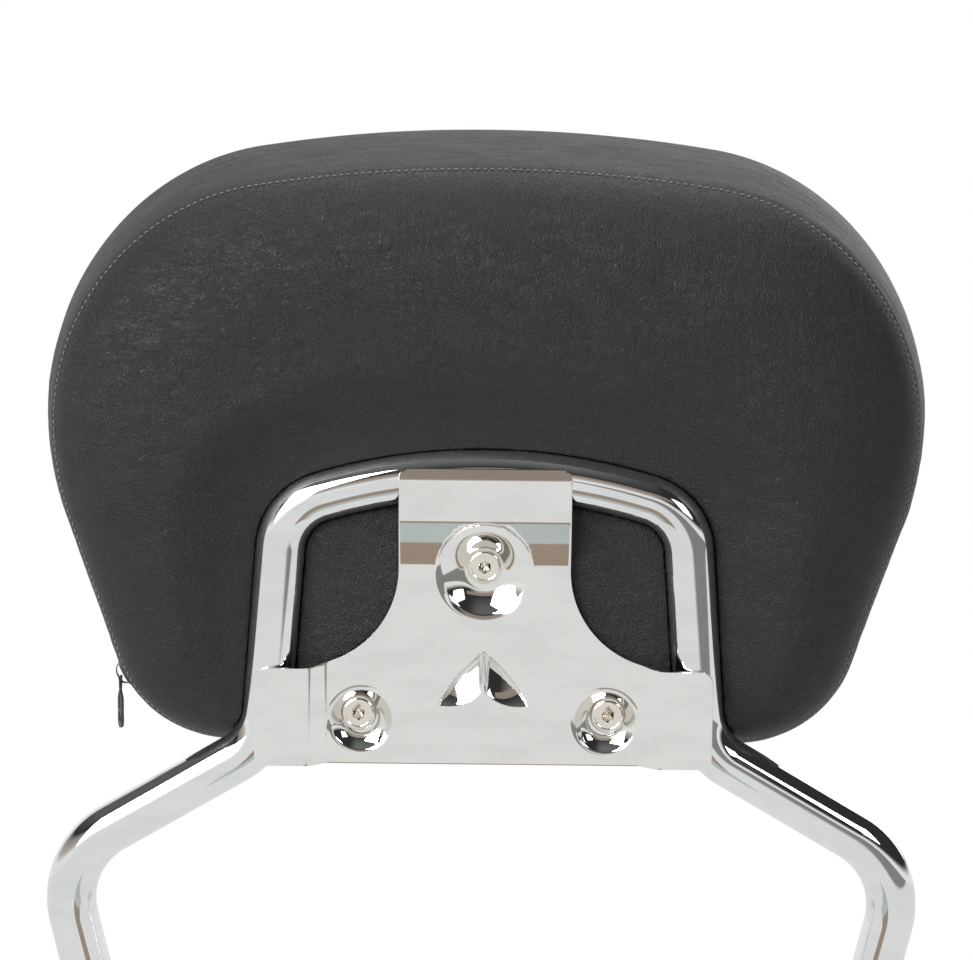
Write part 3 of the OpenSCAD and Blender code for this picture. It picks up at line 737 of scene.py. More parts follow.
class BACKREST_OT_plates(bpy.types.Operator):
    """Side plates with their tongues, and the welds that close the tube's ends"""

    bl_idname = "backrest.plates"
    bl_label = "Side plates"

    def execute(self, context):
        p = context.scene.backrest_hoop
        for side, word in ((-1, "left"), (1, "right")):
            u0 = side * FOOT_U
            points, faces = joined([self.bar(context, u0, p.plate_t),
                                    self.tongue(u0, p.plate_t * 500)])
            piece(f"plate_{word}", upright(points), faces, "plate", "chrome_plate",
                  f"side_plate_{word}", sharp=30)
            points, faces = self.weld(u0)
            piece(f"weld_{word}", leant(points), faces, "plate", "chrome_weld", f"end_weld_{word}")
        return {"FINISHED"}

    def bar(self, context, u0, t):
        curve = bpy.data.objects.new("shape", plate_shape(t))
        context.scene.collection.objects.link(curve)
        context.view_layer.update()
        evaluated = curve.evaluated_get(context.evaluated_depsgraph_get())
        flat = bpy.data.meshes.new_from_object(evaluated)
        co = np.zeros(len(flat.vertices) * 3)
        flat.vertices.foreach_get("co", co)
        y, z, x = co.reshape(-1, 3).T * 1000
        faces = [list(f.vertices) for f in flat.polygons]
        bpy.data.objects.remove(curve)
        return np.stack([x + u0, y, z], 1), faces

    def tongue(self, u0, half):
        """Box with its long edges rounded, leaning with the hoop, from inside the bar up into
        the tube's slotted end."""
        corner, half_w, sides = 0.6, 12.0, 32
        a = round_angles(sides)
        y = np.sign(np.cos(a)) * (half_w - corner) + corner * np.cos(a)
        x = np.sign(np.sin(a)) * (half - corner) + corner * np.sin(a)
        rings = [np.stack([u0 + x, y * np.cos(LEAN) - h * np.sin(LEAN),
                           y * np.sin(LEAN) + h * np.cos(LEAN)], 1) for h in (-8.0, 20.0, 51.0)]
        return np.concatenate(rings), capped_faces(len(rings), sides)

    def weld(self, u0):
        """Dome under the tube's end: radius falls as the cosine of the angle while the depth
        grows as its sine, with a slight ripple of the bead round its rim."""
        radius, depth, sides = 9.5, 7.0, 64
        t = np.linspace(0, np.pi / 2 * 0.98, 14)[:, None]
        a = round_angles(sides)
        r = radius * np.cos(t) * (1 + 0.018 * np.sin(13 * a) * np.sin(2 * t))
        v = TUBE_END_V - 0.27 - depth * np.sin(t) + 0 * a
        top = spread(u0 + radius * np.cos(a), TUBE_END_V + 0 * a, radius * np.sin(a))
        points = np.concatenate([top, spread(u0 + r * np.cos(a), v, r * np.sin(a))])
        return points, capped_faces(len(t) + 1, sides)


# The bracket


def bracket_outline(step):
    """Outline of the bracket's blank, anticlockwise: straight edges, rounded corners and the
    two hollow curves between the tab and the side flaps."""
    flap_u, low, high, top = 87.03, -47.2, -9.2, 68.1
    tab, waist, corner, tab_corner = 32.5, 38.0, 4.5, 3.0

    def bend(u, v, r, a0, a1):
        n = max(3, int(abs(np.radians(a1 - a0)) * r / step))
        return arc((u, v), r, np.linspace(a0, a1, n + 1))

    half = np.concatenate([
        np.array([[0.0, low]]),
        bend(flap_u - corner, low + corner, corner, 180, 90),
        bend(flap_u - corner, high - corner, corner, 90, 0),
        bend(tab + waist, high + waist, waist, 180, 270),
        bend(tab - tab_corner, top - tab_corner, tab_corner, 90, 0),
        np.array([[0.0, top]]),
    ])
    whole = np.concatenate([half, (half * [-1, 1])[-2:0:-1]])
    closed = np.concatenate([whole, whole[:1]])
    run = run_lengths(closed)
    at = np.linspace(0, run[-1], int(run[-1] / step), endpoint=False)
    return np.stack([np.interp(at, run, closed[:, 0]), np.interp(at, run, closed[:, 1])], 1)


def pressed(u, v):
    """Height w of the bracket's rear face at (u, v). The panel is level, the side flaps step
    up, the tab slopes up to a level strip over the tube, and its top edge folds down. The
    dishes and the chevron are sunk into it."""
    flap = STEP_H * smooth(np.abs(u), 58.5, 67.5)
    slope_up = STEP_H * np.clip((v - TAB_FOOT_V) / (TAB_BEND_V - TAB_FOOT_V), 0, 3) ** 1.5
    tab = soft_min(slope_up, STEP_H + 0 * v, 0.35)
    w = PANEL_W + np.where(v < TAB_FOOT_V, flap, tab)
    w = soft_min(w, PANEL_W + STEP_H - 0.385 * (v - 63.4), 0.3)
    for (cu, cv), rim in DISHES:
        w = soft_min(w, PANEL_W - dish_depth(np.hypot(u - cu, v - cv), rim), 0.3)
    return w - chevron_depth(u, v)


def dish_depth(r, rim):
    """Depth of a dish at radius r: an even lip over the outer fifth of its wall, then a bowl
    whose slope fades towards the screw head as a power of the distance left. The seat under
    the head is level."""
    wide = rim - HEAD_SEAT_R
    x = (rim - r) / wide
    lip_depth = 0.43 * LIP_SHARE * wide
    whole = min(DISH_DEPTH, 0.68 * wide)
    y = unit((x - LIP_SHARE) / (1 - LIP_SHARE))
    lip = lip_depth * unit(x / LIP_SHARE) - 3.0 * np.clip(r - rim, 0.0, None)
    bowl = lip + (whole - lip_depth) * (1 - (1 - y) ** 1.45)
    return np.where(r < HEAD_SEAT_R - 0.05, DISH_DEPTH, bowl)


def chevron_depth(u, v):
    """Depth of the chevron. Each leg is a teardrop with a nearly straight upper edge and a
    bulging lower edge that meet in a point. Across it the depth rises as a power over a broad
    lower wall and falls as an ellipse at a short upper wall. It fades at the ridge."""
    depth, leg, deep = 5.0, 24.2, 0.84
    x, y = np.abs(u), (v - CHEVRON_TOP) / 1.2
    along = 0.7 * x - 0.714 * y
    over = 0.714 * x + 0.7 * y
    t = unit(along / leg)
    upper = 1.4 * np.sin(np.pi * t)
    lower = -8.6 * (1 - unit((along - 8.8) / 15.6) ** 2.4)
    c = (over - lower) / np.maximum(upper - lower, 1e-3)
    wall = np.where(c < deep, unit(c / deep) ** 0.85,
                    unit(1 - unit((c - deep) / (1 - deep)) ** 2) ** 0.6)
    reach = smooth(x, 0.0, 1.8) * (1 - t ** 3) ** 0.8
    return depth * wall * reach * ((c > 0) & (c < 1) & (along < leg))


def blank_points(step):
    """Points of the flat blank: a grid, finer rings about each dish, closer rows along the
    tab's bends and a fine grid in the chevron."""
    loop = bracket_outline(step)
    flat = grid_points(np.arange(-86.6, 87.0, step), np.arange(-46.8, 68.0, step))
    u, v = flat.T
    keep = np.ones(len(u), bool)
    rings = []
    for centre, rim in DISHES:
        keep &= np.hypot(*(flat - centre).T) > rim + 1.4
        radii = np.concatenate([
            np.linspace(4.9, HEAD_SEAT_R, 4), np.linspace(HEAD_SEAT_R, rim, 22)[1:],
            rim + np.array([0.25, 0.55, 1.0])])
        rings += [circle(centre, r, int(max(24, 2 * np.pi * r / (step * 0.8)))) for r in radii]
    bend = np.linspace(-1.2, 1.2, 9)
    bends = grid_points(np.arange(-32.0, 32.1, step),
                        np.concatenate([TAB_BEND_V + bend, TAB_FOLD_V + bend]))
    level = (np.abs(v - TAB_BEND_V) > 1.3) & (np.abs(v - TAB_FOLD_V) > 1.3)
    half, low, high = CHEVRON_BOX
    groove = (np.abs(u) < half) & (v < high) & (v > low)
    keep &= (level | (np.abs(u) > 33)) & ~groove
    fine = grid_points(np.arange(-half, half + 0.01, 0.45), np.arange(low, high + 0.1, 0.45))
    inner = np.concatenate([flat[keep], *rings, bends, fine])
    ok = within(inner, loop, 0.35)
    for centre in SCREWS:
        ok &= np.hypot(*(inner - centre).T) > SCREW_HOLE_R + 0.15
    return loop, inner[ok]


def within(points, loop, margin):
    """Which points lie inside a closed loop by a margin: crossings of a ray to the right, and
    the distance to the nearest edge."""
    count = np.zeros(len(points), int)
    dist = np.full(len(points), 1e9)
    for p0, p1 in zip(loop, np.roll(loop, -1, 0)):
        d = p1 - p0
        crosses = (p0[1] > points[:, 1]) != (p1[1] > points[:, 1])
        x = p0[0] + (points[:, 1] - p0[1]) * d[0] / (d[1] if abs(d[1]) > 1e-12 else 1e-12)
        count += crosses & (points[:, 0] < x)
        t = unit(((points - p0) @ d) / (d @ d))
        dist = np.minimum(dist, np.hypot(*(points - p0 - t[:, None] * d).T))
    return (count % 2 == 1) & (dist > margin)


class BACKREST_OT_bracket(bpy.types.Operator):
    """Pressed bracket: a triangulated blank lifted to the pressed height, then thickened"""

    bl_idname = "backrest.bracket"
    bl_label = "Bracket"

    def execute(self, context):
        loop, inner = blank_points(1.1)
        rings = [loop] + [circle(c, SCREW_HOLE_R, 40) for c in SCREWS]
        edges, start = [], 0
        for ring in rings:
            n = len(ring)
            edges += [(start + k, start + (k + 1) % n) for k in range(n)]
            start += n
        points = np.concatenate([*rings, inner])
        out = delaunay_2d_cdt([Vector(q) for q in points.tolist()], edges, [], 0, 1e-5)
        uv = np.array([list(q) for q in out[0]])
        faces = np.array(out[2])
        centre = uv[faces].mean(1)
        keep = within(centre, loop, 0.0)
        for c in SCREWS:
            keep &= np.hypot(*(centre - c).T) > SCREW_HOLE_R - 0.02
        sheet = piece("bracket_sheet", leant(np.c_[uv, pressed(*uv.T)]), faces[keep], "sheet",
                      "chrome_sheet", "pad_bracket", closed=False)
        solid = sheet.modifiers.new("sheet thickness", "SOLIDIFY")
        solid.thickness = context.scene.backrest_bracket.sheet_t
        solid.offset = -1.0
        solid.use_even_offset = False
        bevel = sheet.modifiers.new("rounded edges", "BEVEL")
        bevel.width = 0.00045
        bevel.segments = 3
        bevel.limit_method = "ANGLE"
        bevel.angle_limit = np.radians(60)
        bevel.harden_normals = False
        return {"FINISHED"}


class BACKREST_OT_screws(bpy.types.Operator):
    """Button-head screws with hexagon sockets"""

    bl_idname = "backrest.screws"
    bl_label = "Screws"

    def execute(self, context):
        p = context.scene.backrest_bracket
        profile, shape = self.profile(p.head_d * 500, p.socket_af * 500)
        rows, sides = shape.shape
        a = round_angles(sides)
        r = profile[:, :1] * shape
        w = PANEL_W - DISH_DEPTH + profile[:, 1:] + 0 * r
        for (u0, v0), word in zip(SCREWS, ("top", "left", "right")):
            points = spread(u0 + r * np.cos(a), v0 + r * np.sin(a), w)
            piece(f"button_screw_{word}", leant(points), capped_faces(rows, sides, flip=True),
                  "nickel", "screw_metal", f"screw_{word}", sharp=32)
        return {"FINISHED"}

    def profile(self, r, af):
        """(radius, height) from the socket's bottom over the domed head to the shank's end,
        and the factor by which each row's radius grows round the axis: the socket's four rows
        are hexagons."""
        t = np.linspace(0, np.pi / 2, 14)
        dome = np.stack([r * (0.74 + 0.26 * np.sin(t)), 1.9 + 3.3 * np.cos(t)], 1)
        profile = np.array([
            (0.02, 0.8), (af * 0.4, 1.3), (af, 2.4), (af, 4.7), (af * 1.1, 4.95),
            (r * 0.44, 5.0), (r * 0.68, 5.05), (r * 0.71, 5.2), *dome, (r, 0.25),
            (r - 0.25, 0.0), (4.0, 0.0), (4.0, -22.0), (3.4, -23.5), (0.1, -23.5)])
        a = round_angles(96)
        shape = np.ones((len(profile), len(a)))
        shape[1:5] = 1 / np.cos(np.mod(a + np.pi / 6, np.pi / 3) - np.pi / 6)
        return profile, shape


# The pad


def rounded_rise(inset, reach, power, root):
    """Rises from 0 at a seam to 1 at the reach: one less the power of the share left, to a
    root below 1 that makes the start steep."""
    return (1 - (1 - unit(inset / reach)) ** power) ** root


def back_height(p, u, v, inset, d, outer):
    """Height of the back panel: a rounded rise from the seam, a broad swell away from the
    tube, and dents under the bracket's dishes and chevron."""
    swell = p.bulge * 1000 * smooth(inset, 4, 46) * smooth(d, 12, 48) * outer
    w = BACK_SEAM_W + p.puff * 1000 * rounded_rise(inset, 30.0, 3, 0.75) + swell
    w = np.where(outer, w, np.minimum(w, 4.1 - 0.6 * smooth(d, 9, 20)))
    for (cu, cv), rim in DISHES:
        r = np.hypot(u - cu, v - cv)
        near, far = smooth(r, rim + 1.2, rim + 4.0), smooth(r, rim + 4, rim + 14)
        w = np.minimum(w, -3.6 + 8.2 * near + 20 * far)
    box = np.maximum(np.abs(u) - 21, np.abs(v + 15) - 14)
    return np.minimum(w, -1.4 + 5.6 * smooth(box, 0, 3) + 20 * smooth(box, 3, 12))


def wrap_tube(p, uv, w, lip):
    """Carries the panel round the tube: points closer than the contact width lie on a circle
    just outside the tube, up to the lip, and the rest eases out to the free surface."""
    d, foot, away, _ = near_hoop(p, uv)
    lip = np.clip(np.minimum(lip, w), -CONTACT_R, CONTACT_R)
    top = np.degrees(np.arcsin(np.clip(lip / CONTACT_R, -1, 1)))
    angle = np.radians(-90 + (90 + top) * unit(d / CONTACT_WIDTH))
    lip_d = CONTACT_R * np.cos(np.radians(top))
    past = d - CONTACT_WIDTH
    out = np.clip(past, 0, None)
    free_d = np.where(past < 0, lip_d + past, d - (CONTACT_WIDTH - lip_d) * np.exp(-out / 5.0))
    free_w = lip + (w - lip) * (1 - np.exp(-out / 6.0))
    turn = smooth(past, -2.0, 4.0)
    around_d = CONTACT_R * np.cos(angle) * (1 - turn) + free_d * turn
    around_w = CONTACT_R * np.sin(angle) * (1 - turn) + free_w * turn
    under_tube = np.minimum(w, -np.sqrt(np.clip(CONTACT_R ** 2 - d ** 2, 0, None)))
    plain_w = np.where(d < CONTACT_R, under_tube, w)
    t = smooth(w, -3.0, 2.0)
    new_uv = foot + away * (d * (1 - t) + around_d * t)[:, None]
    far = d > 60
    new_uv[far] = uv[far]
    return np.c_[new_uv, plain_w * (1 - t) + around_w * t]


def leather_ripple(points, d_edge, seed, strength=1.0):
    """Small unevenness of stretched vinyl over foam, fading out at the seams: broad waves and
    a third as much of finer ones that run slantwise."""
    broad = ripple(points, 34.0, seed) * 0.35
    slant = points @ np.array([[0.9, 0.3, 0.2], [-0.5, 2.6, 0.4], [0.2, 0.3, 1.0]]).T
    fine = ripple(slant, 11.0, seed + 1) * 0.12
    return (broad + fine) * strength * smooth(d_edge, 1.0, 14.0)


def front_rise(pad, inset):
    """Crown of the front: a rounded rise from the seam and a flat dome over it."""
    edge = rounded_rise(inset, 46.0, 2.6, 0.72)
    return pad.crown * 1000 * (0.9 * edge + 0.1 * smooth(inset, 10, 110))


class BACKREST_OT_cover(bpy.types.Operator):
    """Cover of the pad: back panel, side band and front panel"""

    bl_idname = "backrest.cover"
    bl_label = "Cover"

    def execute(self, context):
        pad = context.scene.backrest_pad
        self.back_panel(pad, context.scene.backrest_hoop)
        self.side_band(pad)
        self.front_panel(pad)
        return {"FINISHED"}

    def back_panel(self, pad, hoop):
        """Crowned back, pressed in round the tube, with a thin underside."""
        rho, s, faces = disc(105)
        u, v, inset = inside(rho, s, -SEAM_GAP)
        uv = np.stack([u, v], 1)
        d, _, _, outer = near_hoop(hoop, uv)
        w = back_height(pad, u, v, inset, d, outer)
        w += leather_ripple(np.c_[uv, w], inset, 7) * smooth(d, 10, 24)
        wrapped = wrap_tube(hoop, uv, w, pad.lip * 1000)
        under = np.c_[uv, np.minimum(wrapped[:, 2] - 2.0, BACK_SEAM_W - 1.5)]
        points, faces = shell(wrapped, under, faces)
        panel = piece("back_cover", leant(points), faces, "back", "vinyl_back",
                      "cover_back_panel")

    def front_panel(self, pad):
        """Crowned front with a thin underside."""
        rho, s, faces = disc(80)
        u, v, inset = inside(rho, s, FLARE - SEAM_GAP)
        w = FRONT_SEAM_W - front_rise(pad, inset)
        w -= leather_ripple(np.c_[u, v, w], inset, 21)
        under = np.c_[u, v, np.maximum(w + 2.0, FRONT_SEAM_W + 1.0)]
        points, faces = shell(np.c_[u, v, w], under, faces)
        panel = piece("front_cover", leant(points), faces, "front", "vinyl_front",
                      "cover_front_panel")

    def side_band(self, pad):
        """Band between the seams: the outline grows evenly from back to front, bulges between
        the seams and pulls in at them, and has a channel for the zip."""
        half = 7.0
        first, last = zip_ends()
        edge = np.array([-0.25, 0, 0.25])
        t = np.unique(np.concatenate([
            np.linspace(0, 4, 9), np.linspace(4, BAND_H, 34), ZIP_DOWN - half + edge,
            ZIP_DOWN + half + edge, np.linspace(BAND_H - 4, BAND_H, 9)]))
        eps = 0.3 / PAD_LENGTH
        ends = [end + eps * np.array([-1, 0, 1]) for end in (first, last)]
        s = np.unique(np.concatenate([np.linspace(0, 1, 640, endpoint=False), *ends]))
        ss, tt = np.meshgrid(s, t, indexing="ij")

        def along_zip(a, b):
            """1 along the zip, rising from a to b past each of its ends."""
            return smooth(ss, first + a, first + b) * smooth(last - ss, a, b)

        w = BACK_SEAM_W - tt
        pinch = 1.3 * (np.exp(-tt / 1.3) + np.exp(-(BAND_H - tt) / 1.3))
        g = flare(w) + 1.2 * np.sin(np.pi * tt / BAND_H) - pinch
        near = np.minimum(tt, BAND_H - tt).ravel()
        wave = leather_ripple(spread(*outline(ss, g), w), near, 40, 0.75)
        lengthwise = np.stack([ss.ravel() * PAD_LENGTH / 9.0, tt.ravel()], 1)
        wave += 0.09 * ripple(lengthwise, 4.5, 55) * smooth(near, 0.5, 5)
        across = np.abs(tt - ZIP_DOWN)
        open_zip = smooth(half + 0.05 - across, 0, 0.2) * along_zip(-eps / 2, eps / 2)
        hem = 0.45 * np.exp(-((across - half - 0.9) / 0.8) ** 2) * along_zip(-0.004, 0)
        g = g + wave.reshape(tt.shape) + hem
        outer_g = g * (1 - open_zip) + (flare(w) - 4.6) * open_zip
        inner_g = np.minimum(flare(w) - 5.6, outer_g - 1.0)
        outer, inner = (np.stack([*outline(ss, x), w], -1) for x in (outer_g, inner_g))
        ring = np.concatenate([outer, inner[:, ::-1]], 1)
        faces = grid_faces(ring.shape[0], ring.shape[1], wrap_rows=True, wrap_cols=True)
        band = piece("side_band_cover", leant(ring), faces, "band", "vinyl_band",
                     "cover_side_band")


# Seams


class BACKREST_OT_seams(bpy.types.Operator):
    """Stitches along the back and front seams"""

    bl_idname = "backrest.seams"
    bl_label = "Seams"

    def execute(self, context):
        pitch = context.scene.backrest_pad.stitch_pitch * 1000
        for name, g, w, lean in (("back_seam_stitches", -0.75, BACK_SEAM_W + 0.75, 38.0),
                                 ("front_seam_stitches", 8.1, FRONT_SEAM_W + 1.7, -60.0)):
            points, faces = self.stitches(g, w, pitch, np.radians(lean))
            piece(name, leant(points), faces, "thread")
        return {"FINISHED"}

    def stitches(self, g, w, pitch, lean):
        """Each stitch is a short rod whose ends dip into the vinyl: along it the height falls
        as the square of the distance from its middle, and its section is a circle."""
        rows, sides = 7, 6
        count = int(PAD_LENGTH / pitch)
        middle, t, a = np.meshgrid((np.arange(count) + 0.5) / count, np.linspace(-1, 1, rows),
                                   round_angles(sides), indexing="ij")
        r = 0.24 * np.sqrt(np.clip(1.05 - t ** 4, 0.05, 1))
        rise = 0.12 - 0.4 * t ** 2
        u, v = outline(middle + t * 0.34 * pitch / PAD_LENGTH,
                       g + rise * np.cos(lean) + r * np.cos(a))
        points = spread(u, v, w + rise * np.sin(lean) + r * np.sin(a))
        return points, copies(capped_faces(rows, sides), rows * sides, count)


# The zip


def zip_ends():
    """Shares of the outline where the zip begins and ends: 8 mm up the straight sides above
    the lower corners, and a little play."""
    start = share_at_heading(109.5) - (8.0 + 0.4) / PAD_LENGTH
    return start, 1.0 - start


def carried(profile, s, scale=1.0, lift=0.0):
    """Carries a closed profile of (height over the band, distance towards the back from the
    zip's middle) along the outline, scaled and lifted at each share s."""
    scale, lift = (np.asarray(x + 0 * s)[:, None] for x in (scale, lift))
    w = ZIP_W + profile[:, 1] * scale
    u, v = outline(np.repeat(s[:, None], len(profile), 1), flare(w) + profile[:, 0] * scale + lift)
    return spread(u, v, w), capped_faces(len(s), len(profile))


def rounded_box(x0, x1, y0, y1, r, n=3):
    """Points of a rectangle with rounded corners, in order."""
    left, right, low, high = x0 + r, x1 - r, y0 + r, y1 - r
    corners = []
    for cx, cy, start in (right, high, 0), (left, high, 90), (left, low, 180), (right, low, 270):
        a = np.radians(start + np.linspace(0, 90, n + 1))
        corners.append(np.stack([cx + r * np.cos(a), cy + r * np.sin(a)], 1))
    return np.concatenate(corners)


def prism(section, ends, axis):
    """A flat section at two places along an axis: 1 is up and 2 is depth."""
    points = np.concatenate([np.insert(section, axis, end, axis=1) for end in ends])
    return points, capped_faces(2, len(section))


class BACKREST_OT_zip(bpy.types.Operator):
    """Zip: two tapes, two rows of teeth, stops, slider and pull"""

    bl_idname = "backrest.zip"
    bl_label = "Zip"

    def execute(self, context):
        p = context.scene.backrest_zip
        first, last = zip_ends()
        s = np.linspace(first + 0.0004, last - 0.0004, 260)
        for side, word in ((1, "back"), (-1, "front")):
            tape = rounded_box(-2.4, -1.4, 0.5, 0.5 + p.tape_w * 1000, 0.3) * [1, side]
            self.made(f"zip_tape_{word}_woven", carried(tape, s), "tape", "zip_tape",
                      f"zip_tape_{word}")
            self.made(f"zip_teeth_{word}_row", self.teeth(p, side, first, last), "teeth",
                      "zip_teeth", f"zip_teeth_{word}")
        clip = rounded_box(-1.4, 0.15, -2.5, 2.5, 0.5)
        for word, end, step in (("right", first, 3.2), ("left", last, -3.2)):
            span = end + np.linspace(step, step * 1.7, 6) / PAD_LENGTH
            self.made(f"zip_stop_{word}_clip", carried(clip, span), "enamel", "zip_metal",
                      f"zip_stop_{word}", sharp=50)
        self.made("zip_slider_body", self.slider(), "enamel", "zip_metal", "zip_slider",
                  body="slider", sharp=40)
        self.made("zip_pull_tab", self.pull(), "enamel", "zip_metal", "zip_pull", body="pull",
                  sharp=50)
        return {"FINISHED"}

    def made(self, name, shape, *where, **more):
        piece(name, leant(shape[0]), shape[1], *where, **more)

    def teeth(self, p, side, first, last):
        """A row of little rounded blocks, half a pitch apart from the other row. They narrow
        towards both faces as the fourth power of the distance from their middle."""
        pitch = p.tooth_pitch * 1000
        floor, waist = -1.4, 1.2
        count = int(((last - first) * PAD_LENGTH - 11.0) / pitch) - 1
        start = first * PAD_LENGTH + 5.5 + (0.5 * pitch if side > 0 else 0.0)
        section = rounded_box(floor, 0.0, 0.38, 2.0, 0.45, 2)
        rows, n = 5, len(section)
        middle, x, k = np.meshgrid((start + np.arange(count) * pitch) / PAD_LENGTH,
                                   np.linspace(-1, 1, rows), np.arange(n), indexing="ij")
        shrink = 1 - 0.35 * np.abs(x) ** 4
        w = ZIP_W + side * (waist + (section[k, 1] - waist) * shrink)
        u, v = outline(middle + x * 0.36 * pitch / PAD_LENGTH,
                       flare(w) + floor + (section[k, 0] - floor) * shrink)
        return spread(u, v, w), copies(capped_faces(rows, n), rows * n, count)

    def slider(self):
        """Upper plate, two side flanges, neck, lower plate, and the bridge that holds the
        pull: an arch whose height falls as a power of the distance from its middle."""
        mid = share_at_heading(242.0)
        blocks = [
            (rounded_box(0.4, 1.8, -4.1, 4.1, 0.5), -4.5, 4.5, 17, 0.16),
            (rounded_box(-1.0, 0.9, 2.75, 4.1, 0.35), -4.3, 4.3, 11, 0.05),
            (rounded_box(-1.0, 0.9, -4.1, -2.75, 0.35), -4.3, 4.3, 11, 0.05),
            (rounded_box(-3.0, 0.8, -0.27, 0.27, 0.1), -4.0, 3.6, 9, 0.0),
            (rounded_box(-3.8, -2.85, -3.5, 3.5, 0.3), -4.3, 4.3, 13, 0.12),
        ]
        parts = []
        for profile, a, b, n, rounding in blocks:
            narrowed = 1 - rounding * np.abs(np.linspace(-1, 1, n)) ** 6
            parts.append(carried(profile, mid + np.linspace(a, b, n) / PAD_LENGTH, narrowed))
        x = np.linspace(-1, 1, 25)
        arch = 1.6 + 3.25 * (1 - np.abs(x) ** 3.2)
        strip = rounded_box(-0.45, 0.45, -1.0, 1.0, 0.3)
        return joined(parts + [carried(strip, mid + x * 3.9 / PAD_LENGTH, lift=arch)])

    def pull(self):
        """Flat tab with a slot, hung by two arms from a cross bar. Its half width is a root of
        one less the ninth power of the distance from its middle, which rounds its ends. It is
        turned by 24 degrees about its length over its upper third, as its play allows."""
        bar = np.array([-141.664, -22.798, ZIP_W])
        bottom, top, half_w = 20.0, 2.6, 2.6
        y = np.linspace(0, 1, 40)
        v = (-top - (bottom - top) * y)[:, None]
        half = np.maximum(half_w * unit(1 - np.abs(2 * y - 1) ** 9) ** 0.5, 0.25)
        hole = 1.15 * np.sqrt(unit(1 - ((y - 0.78) / 0.14) ** 2)) + \
            0.8 * smooth(y, 0.1, 0.18) * smooth(0.62 - y, 0.0, 0.06)
        turn = np.radians(24.0) * smooth(y, 0.0, 0.35)[:, None]
        x = np.linspace(0, 1, 7)
        parts = []
        for side in (-1, 1):
            w = side * (hole[:, None] + (half - hole)[:, None] * x)
            thick = 0.55 * np.sqrt(np.clip(1 - (2 * x - 1) ** 6, 0.12, 1)) + 0 * w
            across = np.concatenate([thick, -thick[:, ::-1]], 1)
            deep = np.concatenate([w, w[:, ::-1]], 1)
            points = spread(across * np.cos(turn) + deep * np.sin(turn), v + 0 * deep,
                            deep * np.cos(turn) - across * np.sin(turn))
            parts.append((points, capped_faces(*deep.shape)))
        for side in (-1, 1):
            arm = rounded_box(-0.5, 0.5, 1.35, 2.15, 0.3) * [1, side]
            parts.append(prism(arm, (0.55, -3.3), 1))
        parts.append(prism(circle((0.0, 0.0), 0.65, 16), (-2.15, 2.15), 2))
        points, faces = joined(parts)
        return points + bar, faces


class BACKREST_OT_inside(bpy.types.Operator):
    """Foam, board and tee nuts inside the cover"""

    bl_idname = "backrest.inside"
    bl_label = "Inside"

    def execute(self, context):
        rho, s, faces = disc(40)
        u, v, inset = inside(rho, s, 5.0)
        front = FRONT_SEAM_W + 4.5 - front_rise(context.scene.backrest_pad, inset)
        ub, vb, _ = inside(rho, s, -8.0)
        back = np.c_[ub, vb, np.full(len(ub), -20.3)]
        points, faces = shell(np.c_[u, v, front], back, faces)
        foam = piece("foam_block", leant(points), faces, "foam", "foam", "foam_core")
        for name, finish in (("base_board", "board"), ("tee_nut_top", "zinc"),
                             ("tee_nut_left", "zinc"), ("tee_nut_right", "zinc")):
            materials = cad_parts[name].data.materials
            materials.clear()
            materials.append(FINISHES[finish])
        return {"FINISHED"}


# The stage


